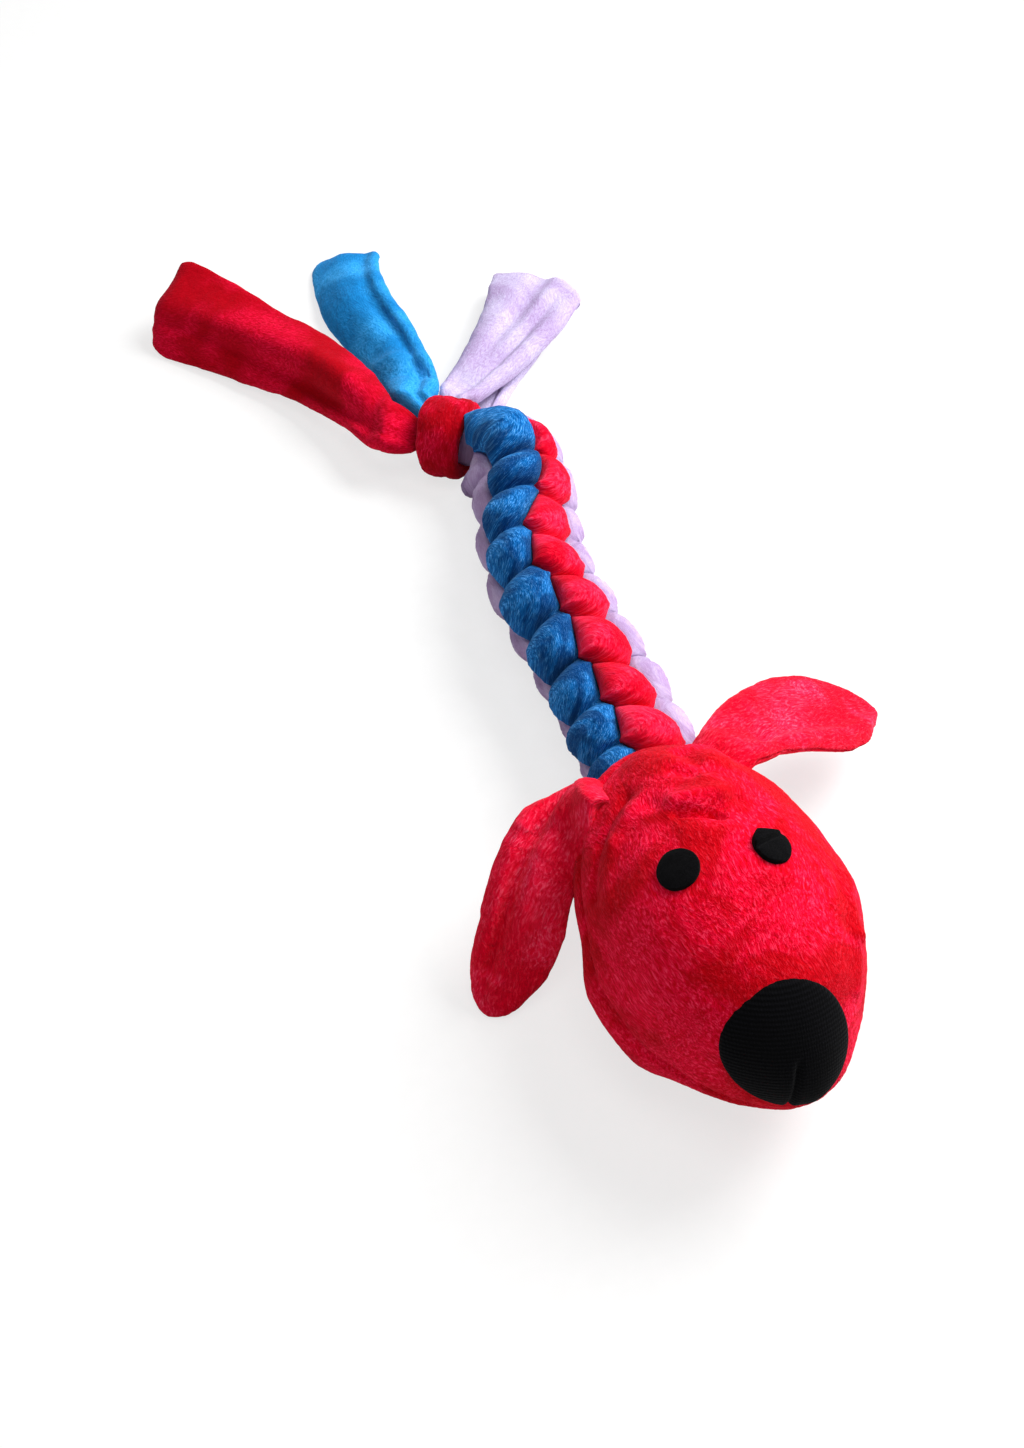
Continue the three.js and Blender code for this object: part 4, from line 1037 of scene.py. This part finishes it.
# Each strand: the angle of its wall at the layer boundaries, where the whole braid turns a little to the
# right near the knot; its cells' edges in layers and how plump each cell is; how its pile lies in degrees;
# how much later than the others it is drawn in at the head; and how deep its creases are.
strands = {
    # The red strand wears the lighter red, which is painted light.
    "red": {
        "lobe": upper_lobe, "dye": lit_red_dye, "slot": "red_plush",
        "wall": [46, 45, 53, 52, 46, 40, 36, 26, 32, 48],
        "edges": [-0.9, -0.25, 0.74, 1.75, 2.73, 3.76, 4.7, 5.72, 6.72, 7.78, 8.75, 9.4],
        "plump": [1, 1, 1.15, 1, 1, 1.05, 0.9, 0.95, 1.05, 0.9, 0.8],
        "last": 8.94, "lie": 18, "fluff": 0.25, "late": 4, "crease": 1},
    # The blue strand wears the darker blue, which is painted shade.
    "blue": {
        "lobe": blue_lobe, "dye": shaded_blue_braid_dye, "slot": "blue_plush",
        "wall": [109, 110, 113, 112, 100, 102, 94, 66, 60, 64],
        "edges": [-0.9, 0, 1.0, 1.97, 2.94, 3.95, 5.05, 5.96, 6.92, 7.84, 9.2],
        "plump": [1, 0.9, 1.05, 1, 1, 1.15, 0.9, 0.9, 1, 1.15],
        "last": 9.18, "lie": -18, "fluff": 0.6, "late": 10, "crease": 1},
    "lilac_left": {
        "lobe": left_lobe, "dye": lilac_dye, "slot": "lilac_plush",
        "wall": [180, 184, 185, 184, 177, 170, 166, 146, 138, 140],
        "edges": [-0.9, -0.25, 0.75, 1.74, 2.76, 3.75, 4.74, 5.76, 6.75, 7.84, 8.95, 9.6],
        "plump": [1] * 9 + [1.25, 1],
        "last": 8.94, "lie": -10, "fluff": 0.4, "late": 5, "crease": 0.8},
    "lilac_right": {
        "lobe": right_lobe, "dye": lilac_dye, "slot": "lilac_plush",
        "wall": [282] * 10,
        "edges": [-0.9, 0, 1.0, 2.02, 2.98, 4.0, 5.02, 6.0, 6.98, 8.0, 9.1, 9.6],
        "plump": [1] * 9 + [1.1, 1.1],
        "last": 9.4, "lie": 10, "fluff": 0.4, "late": 8, "crease": 0.5},
}
order = list(strands)


def fullness(strand, place):
    """How full a strand is, from 0 in a crease to 1 at a cell's middle. A cell is fullest past its middle."""
    edges = np.array(strand["edges"])
    cell = np.clip(np.searchsorted(edges, place, side="right") - 1, 0, len(edges) - 2)
    through = np.clip((place - edges[cell]) / (edges[cell + 1] - edges[cell]), 0, 1)
    plump = np.array(strand["plump"])[cell]
    return np.sqrt(np.maximum(np.sin(math.pi * through ** cell_peak_power), 0)) * plump


def wall(index, place):
    """The angle at which one strand gives way to the next: the fuller one pushes over."""
    strand = strands[order[index % 4]]
    before = strands[order[(index + 3) % 4]]
    turn = 360 if index == 4 else 0
    base = table_at(strand["wall"], place / layer_count)
    return base + turn - zigzag_degrees * (fullness(strand, place) - fullness(before, place))


def strand_arc(index, strand, places):
    """A strand's outside, in rows that follow its chevrons: angles, distances along the braid, radii, and
    how far across the strand each point is."""
    places = places[:, None]
    low, high = wall(index, places), wall(index + 1, places)
    across = np.linspace(-1, 1, arc_points)[None, :]
    angle = (low + high) / 2 + across * (high - low) / 2
    near, far = chevron_shares[index], chevron_shares[index + 1]
    distance = (places - (near + far) / 2 - across * (far - near) / 2) * layer
    full = 1 - strand["crease"] * (1 - fullness(strand, places))
    pillow = np.maximum(1 - np.abs(across) ** pillow_power, 0) ** 0.5
    radius = valley_radius + (strand["lobe"] - valley_radius) * np.minimum(pillow * full, fullest_share)
    return angle, distance, drawn_in(distance - strand["late"], radius), across + 0 * angle


for index, (name, strand) in enumerate(strands.items()):
    strand_plush = plush(name + "_strand_plush", strand["dye"], streak=(0.5, 1.7, 0.5), patch_size=13,
                         fluff=strand["fluff"], sway=3.0)
    cuts = [min(strand["edges"], key=lambda edge: abs(edge - cut)) for cut in cut_places]
    cuts = [first_place] + cuts + [strand["last"]]
    for length, first, last in zip(lengths, cuts[:-1], cuts[1:]):
        places = np.linspace(first, last, max(int((last - first) * rows_per_layer), fewest_rows))
        places[0] += crease_gap
        places[-1] -= crease_gap
        angle, distance, radius, across = strand_arc(index, strand, places)
        turn = np.radians(angle)
        point, side, along = braid_frame(distance)
        # The rings lean back with their height, and stand upright again at the knot.
        upright = np.sqrt(np.clip((braid_length - distance) / layer, 0, 1))
        height = radius * np.sin(turn)
        lean = height * upright * math.tan(math.radians(ring_tilt_degrees))
        arc = point + (radius * np.cos(turn))[..., None] * side - along * lean[..., None]
        arc[..., 2] += height
        lie = math.radians(strand["lie"])
        round_it = radius * turn
        pattern = np.stack([
            round_it * math.cos(lie) - distance * math.sin(lie),
            round_it * math.sin(lie) + distance * math.cos(lie),
            0 * angle + index * pattern_step], axis=-1)

        # Fine folds, lumps and pile, which fade out at the valleys between the strands
        crinkle = np.abs(grainy(pattern, strand_fold_grain, strand_fold_seed + index)) ** 0.5
        pile_share = np.clip(near_pile_share - distance / pile_fade_length, far_pile_share, near_pile_share)
        relief = (lumpy(pattern, strand_lumps, index) - strand_fold_depth * crinkle
                  + lumpy(pattern, strand_pile) * pile_share)
        relief = relief * np.clip(valley_fade - np.abs(across) ** 4, 0, 1)
        arc = arc + unit(arc - point) * relief[..., None]

        # The walls run in from the valleys to a hub near the braid's middle, where they do not show.
        centre = point.mean(axis=1, keepdims=True)
        hub = centre + (arc.mean(axis=1, keepdims=True) - centre) * hub_rise_share
        inwards = np.linspace(0, 1, wall_points + 2)[1:-1]
        walls = [arc[:, -1:] + (hub - arc[:, -1:]) * share for share in inwards] + [hub]
        walls += [arc[:, :1] + (hub - arc[:, :1]) * share for share in inwards[::-1]]
        rings = np.concatenate([arc] + walls, axis=1)
        pattern = np.concatenate([pattern, np.repeat(pattern[:, -1:], len(walls), axis=1)], axis=1)
        piece = sleeve(f"{name}_strand_{length['name']}", on_table(rings), pattern, strand_plush)
        bend, _, forward = braid_frame(length["bend"] * layer)
        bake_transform(piece)
        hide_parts(*[f"{name}_strand_{part}" for part in length["stands_for"]])


# Knot
# The red strand makes one turn round the other three and pulls them together. It is the same stuffed
# plush, flattened where it is drawn tight.
wrap_length = 20
knot_length = 17
knot_radius = 15.8
knot_inner_radius = 9.5
knot_shift = np.array([1.2, 5.6, -1.6])
knot_uneven_width = 0.9
knot_width_start = 0.6
knot_uneven_place = 1.2
knot_place_start = -0.8
knot_side_power = 0.75
knot_edge_power = 0.8
knot_crease_depth = 0.6
knot_crease_width = 1.6
knot_crease_offset = 2.5
knot_crease_wander = 1.5
wrap_sides = 220
wrap_section = 72
knot_nap_place = 200
# A darker copy of the red plush: painted shade on the knot and the red tail.
shaded_red_dye = {"base": "#ac0012", "lit": "#dc0a38", "shade": "#900009", "tip": "#ff6484"}
knot_lumps = ((0.6, 9, 3.3),)
knot_pile = ((0.28, (1.4, 4.0, 1.4), 5.1), (0.15, (0.8, 1.4, 0.8), 2.2))

wrap_point, wrap_side, wrap_along = braid_frame(braid_length + wrap_length / 2)
turn = np.linspace(0, 2 * math.pi, wrap_sides, endpoint=False)[:, None]
section = np.linspace(0, 2 * math.pi, wrap_section, endpoint=False)[None, :]
half_long = knot_length / 2 + knot_uneven_width * np.sin(turn + knot_width_start)
out_share = fuller(np.cos(section), knot_side_power)
long_share = fuller(np.sin(section), knot_edge_power)
radius = (knot_radius + knot_inner_radius) / 2 + (knot_radius - knot_inner_radius) / 2 * out_share
shift = half_long * long_share + knot_uneven_place * np.sin(turn + knot_place_start)
ray = np.cos(turn)[..., None] * wrap_side + np.sin(turn)[..., None] * np.array([0, 0, 1.0])
rings = wrap_point + knot_shift + radius[..., None] * ray + shift[..., None] * wrap_along
pattern = np.stack([shift, radius * turn, 0 * shift + knot_nap_place], axis=-1)
outward = unit(out_share[..., None] * ray + long_share[..., None] * wrap_along)
crease_line = shift + knot_crease_offset - knot_crease_wander * np.sin(turn * 2)
relief = (lumpy(rings, knot_lumps) + lumpy(pattern, knot_pile)
          - knot_crease_depth * ridge(crease_line, knot_crease_width) * (out_share > 0))
rings = on_table(rings + outward * relief[..., None])
# The knot wears the darker red, which is painted shade.
red_knot_plush = plush("red_knot_plush", shaded_red_dye, patch_size=15, fluff=0.2)
index = np.arange(wrap_sides * wrap_section).reshape(wrap_sides, wrap_section)
beside = np.roll(index, -1, 1)
faces = np.stack([index, beside, np.roll(beside, -1, 0), np.roll(index, -1, 0)], axis=-1)
knot = skin("red_knot", rings.reshape(-1, 3), faces.reshape(-1, 4).tolist(), pattern.reshape(-1, 3),
            red_knot_plush)
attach(knot, "braid_rear")
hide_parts("red_knot_wrap")


# Tails
# The strands' loose ends: flat sleeves of plush with a little fibre in them, gathered in the knot and sewn
# square at the end. Each lies on the table, or on the tail below it, in soft lengthwise folds.
tail_fold_depth = 2.4
tail_fold_width_share = 0.33
tail_fold_lead_share = 0.2
tail_end_thickness = 5
tail_root_thickness_share = 0.62
tail_width_shares = [0.46, 0.56, 0.68, 0.82, 0.94, 1]
tail_pinch_share = 0.18
tail_pinch_length_share = 0.03
tail_hem_share = 0.035
tail_hem_narrowing_share = 0.07
tail_hem_thickness_share = 0.02
tail_corner_share = 0.22
tail_press = 0.4
tail_rest_rows = 13
tail_spread_power = 0.7
tail_belly_power = 0.8
tail_rows = 170
tail_points = 110
tail_shift = np.array([0.5, 4.5, 0])
tail_nap_step = 3.0
# A lighter copy of the blue plush: painted light on the blue tail, which faces the lamp.
lit_blue_tail_dye = {"base": "#1a84ca", "lit": "#3ea8ee", "shade": "#065290", "tip": "#80c8f8"}
flat_lilac_dye = {"base": "#b2a2c8", "lit": "#c8c0dd", "shade": "#865e94", "tip": "#dad4ea"}
tail_crumples = ((0.8, (14, 22, 14), 2.7),)
tail_pile = ((0.4, (6, 8, 6), 9.2), (0.1, (1.4, 3.5, 1.4), 5.5), (0.08, (0.8, 1.6, 0.8), 1.9))

# How deep in the knot and how much narrower a tail is, from its end to the first ring
gather = ((13, 0.5), (11, 0.32), (8, 0.18), (5, 0.08), (2.4, 0.02))

# Both lilac tails are folded alike.
lilac_long_folds = [
    dict(height=-2.6, place=0.28, slant=0.35, width=0.17, swell=1.2),
    dict(height=-2.4, place=-0.35, slant=0.5, width=0.2, start=0.25, rise=3),
    dict(height=1.0, place=-0.05, slant=0.4, width=0.2)]
lilac_cross_folds = [dict(height=-3.0, place=0.1, width=0.07, middle=-0.2, half_length=0.6)]
tails = {
    # The red tail wears the darker red, which is painted shade.
    "red_tail": {
        "root": -9, "ring": 23.5, "radius": 9, "height": 14, "length": 131, "width": 52, "thickness": 11,
        "root_width": 26, "rests_on": 0, "lift": 6, "drop_power": 2, "reach": 1.02, "fold": -0.6,
        "bearings": [-18, -14, -33, -38, -48], "faces": [-58, -34, -33, -38, -48],
        "rolls": [8, 14, 20, 28, 34],
        "minus_edge": [1, 0.8, 0.85, 0.78, 0.68, 0.64, 0.6],
        "plus_edge": [1.05, 1.25, 1.17, 1.06, 0.97, 1.0, 1.13],
        "corners": (9, 1.5), "aim": (0, -5, -2), "dye": shaded_red_dye, "slot": "red_plush",
        "long_folds": [dict(height=7.0, place=0.22, slant=-0.2, width=0.5, rise=5),
                       dict(height=-2.2, place=-0.62, slant=0.5, width=0.2, rise=3)],
        "cross_folds": [dict(height=-1.2, place=0.06, width=0.03)]},
    # The blue tail wears the lighter blue, which is painted light.
    "blue_tail": {
        "root": 37, "ring": 23.5, "radius": 7.5, "height": 20, "length": 124, "width": 34, "thickness": 11,
        "root_width": 18, "rests_on": 0, "lift": 1, "drop_power": 3, "reach": 1.045, "fold": 0.25,
        "bearings": [28, 1, -10, 3, 22], "faces": [28, 1, -10, 3, 22], "rolls": [10, 22, 28, 24, 14],
        "minus_edge": [1.05, 1.46, 1.6, 1.45, 1.2, 1.0, 0.92], "plus_edge": [1, 1, 1, 1, 0.95, 0.92, 0.9],
        "corners": (9, 4), "aim": (0, 0, 0), "dye": lit_blue_tail_dye, "slot": "blue_plush",
        "long_folds": [dict(height=-1.3, place=0.5, wave=0.12, width=0.22, start=0.2, rise=4),
                       dict(height=1.2, place=-0.1, width=0.4, rise=3)],
        "cross_folds": [dict(height=-3.2, place=0.15, slant=-0.03, width=0.035, tilt=0.4),
                        dict(height=1.8, place=0.24, slant=-0.05, width=0.04),
                        dict(height=-1.0, place=0.86, width=0.06, middle=0.45, half_length=0.3)]},
    "lilac_upper_tail": {
        "root": 77, "ring": 23.5, "radius": 7, "height": 16, "length": 96, "width": 42, "thickness": 11,
        "root_width": 16, "rests_on": 7.6, "lift": 1, "drop_power": 3, "reach": 1.06, "fold": 0.1,
        "bearings": [50, 46, 42, 36, 32], "faces": [50, 46, 42, 36, 32], "rolls": [0] * 5,
        "minus_edge": [1, 1.05, 1.05, 1.02, 1, 0.98, 0.98],
        "plus_edge": [1, 1.05, 1.12, 1.12, 1.1, 1.04, 0.98],
        "corners": (2, 20), "aim": (0, 0, 0), "dye": flat_lilac_dye, "slot": "lilac_plush",
        "long_folds": lilac_long_folds, "cross_folds": lilac_cross_folds},
    "lilac_lower_tail": {
        "root": 103, "ring": 18.5, "radius": 6.4, "height": 6.6, "length": 96, "width": 42, "thickness": 7,
        "root_width": 12, "rests_on": 0, "lift": 0, "drop_power": 3, "reach": 0.97, "fold": 0.0,
        "bearings": [30, 34, 40, 38, 34], "faces": [30, 34, 40, 38, 34], "rolls": [0] * 5,
        "minus_edge": [1] * 7, "plus_edge": [1, 0.9, 0.8, 0.72, 0.7, 0.7, 0.7],
        "corners": (3, 3), "aim": (0, 0, 0), "dye": flat_lilac_dye, "slot": "lilac_plush",
        "long_folds": lilac_long_folds, "cross_folds": lilac_cross_folds},
}
wrap_bearing = math.degrees(math.atan2(wrap_along[0], wrap_along[1]))


def tail_section(tail, shares, points):
    """How far across and how high a tail's rings are, and how far across each point is from -1 to 1."""
    root_share = tail["root_width"] / tail["width"]
    half = tail["width"] / 2 * np.maximum(table_at([root_share] + tail_width_shares, shares), root_share)
    past = np.clip((shares - 1 + tail_hem_share) / tail_hem_share, 0, 1)
    half = half * (1 - tail_hem_narrowing_share * past ** 2)
    half = half * (1 - tail_pinch_share * ridge(shares, tail_pinch_length_share))

    # Thick at the root, as thick as the tail in its middle, and thin at the sewn end
    root_thick = tail["radius"] * tail_root_thickness_share
    body = tail["thickness"] / 2
    end = min(tail_end_thickness, tail["thickness"]) / 2
    first_half = root_thick + (body - root_thick) * shares * 2
    second_half = body + (end - body) * np.maximum(shares * 2 - 1, 0) ** 2
    thick = np.where(shares < 0.5, first_half, second_half)
    thick = thick * np.sqrt(np.maximum(1 - past ** 2, tail_hem_thickness_share))

    # A long dip runs down the upper side.
    turn = np.linspace(0, 2 * math.pi, points, endpoint=False) + math.pi / points
    across = fuller(np.cos(turn), tail_spread_power)
    depth = tail_fold_depth * np.sin(math.pi * np.minimum(shares + tail_fold_lead_share, 1))
    dip = (np.sin(turn) > 0) * ridge(across - tail["fold"], tail_fold_width_share) * depth[:, None]
    height = fuller(np.sin(turn), tail_belly_power) * thick[:, None] - dip
    return half, height, across


def tail_rings(tail, shares, points):
    """The rings of a tail, over the top from one edge to the other and back underneath. The nap's flat
    places, how far across each point is, the upward directions and the tail's root come with them."""
    root = wrap_point + heading(wrap_bearing + tail["root"]) * tail["ring"]
    root[2] = tail["height"]
    middle = walk(root, tail["length"] * tail["reach"], tail["bearings"], [0, 0], shares) + tail_shift
    along = heading(table_at(tail["faces"], shares))
    level_side = np.stack([along[:, 1], -along[:, 0], 0 * shares], axis=-1)
    roll = -np.radians(table_at(tail["rolls"], shares))
    side = turned_about(level_side, along, roll)
    up = turned_about(np.repeat([[0, 0, 1.0]], len(shares), axis=0), along, roll)
    half, height, across = tail_section(tail, shares, points)
    edge = np.where(across > 0, table_at(tail["plus_edge"], shares)[:, None],
                    table_at(tail["minus_edge"], shares)[:, None])
    sheet = side[:, None, :] * (half[:, None] * across * edge)[..., None] + up[:, None, :] * height[..., None]

    # The sewn end's corners are rounded.
    corner = np.where(across > 0, tail["corners"][1], tail["corners"][0])
    past_corner = np.clip((np.abs(across) - 1) * tail["width"] / 2 / corner + 1, 0, 1)
    cut_back = corner * (1 - np.sqrt(1 - past_corner ** 2))
    at_end = np.clip((shares[:, None] - 1 + tail_corner_share) / tail_corner_share, 0, 1) ** 2
    sheet -= along[:, None, :] * (cut_back * at_end)[..., None]

    # It comes down from the knot and then lies on what is below it.
    rest = tail["rests_on"] - tail_press - sheet[..., 2].min(axis=1)
    rest = np.pad(rest, tail_rest_rows // 2, mode="edge")
    rest = np.convolve(rest, np.ones(tail_rest_rows) / tail_rest_rows, mode="valid")
    drop = np.maximum(tail["height"] + tail["lift"] - rest, 0) * (1 - shares) ** tail["drop_power"]
    middle[:, 2] = rest + drop
    flat = np.stack([half[:, None] * across, tail["length"] * shares[:, None] + 0 * across, height], axis=-1)
    return middle[:, None, :] + sheet, flat, across, up, root


for name, tail in tails.items():
    shares = np.linspace(0, 1, tail_rows)
    rings, flat, across, up, root = tail_rings(tail, shares, tail_points)
    outward = facing(rings)
    top_side = np.maximum(np.sum(outward * up[:, None, :], axis=-1), 0)
    relief = (top_side * all_folds(across, shares[:, None], tail)
              + lumpy(flat, tail_crumples, tail["root"]) + lumpy(flat, tail_pile))
    rings = rings + outward * relief[..., None]
    # The root runs on into the knot.
    to_middle = rings[0].mean(axis=0) - rings[0]
    to_knot = unit(wrap_point + knot_shift + tail["aim"] - rings[0].mean(axis=0))
    inside = [rings[0] + to_knot * depth + to_middle * draw for depth, draw in gather]
    pile = [flat[0] - [0, depth, 0] for depth, _ in gather]
    rings = np.concatenate([np.array(inside), rings])
    flat = np.concatenate([np.array(pile), flat]) + [0, 0, tail["root"] * tail_nap_step]
    if tail["rests_on"] == 0:
        rings = on_table(rings)
    cloth = plush(name + "_plush", tail["dye"], streak=(0.5, 1.8, 0.5), patch_size=34, fluff=0.06,
                  relief_share=0.4)
    piece = sleeve(name + "_sleeve", rings, flat, cloth)
    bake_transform(piece)
    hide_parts(name)
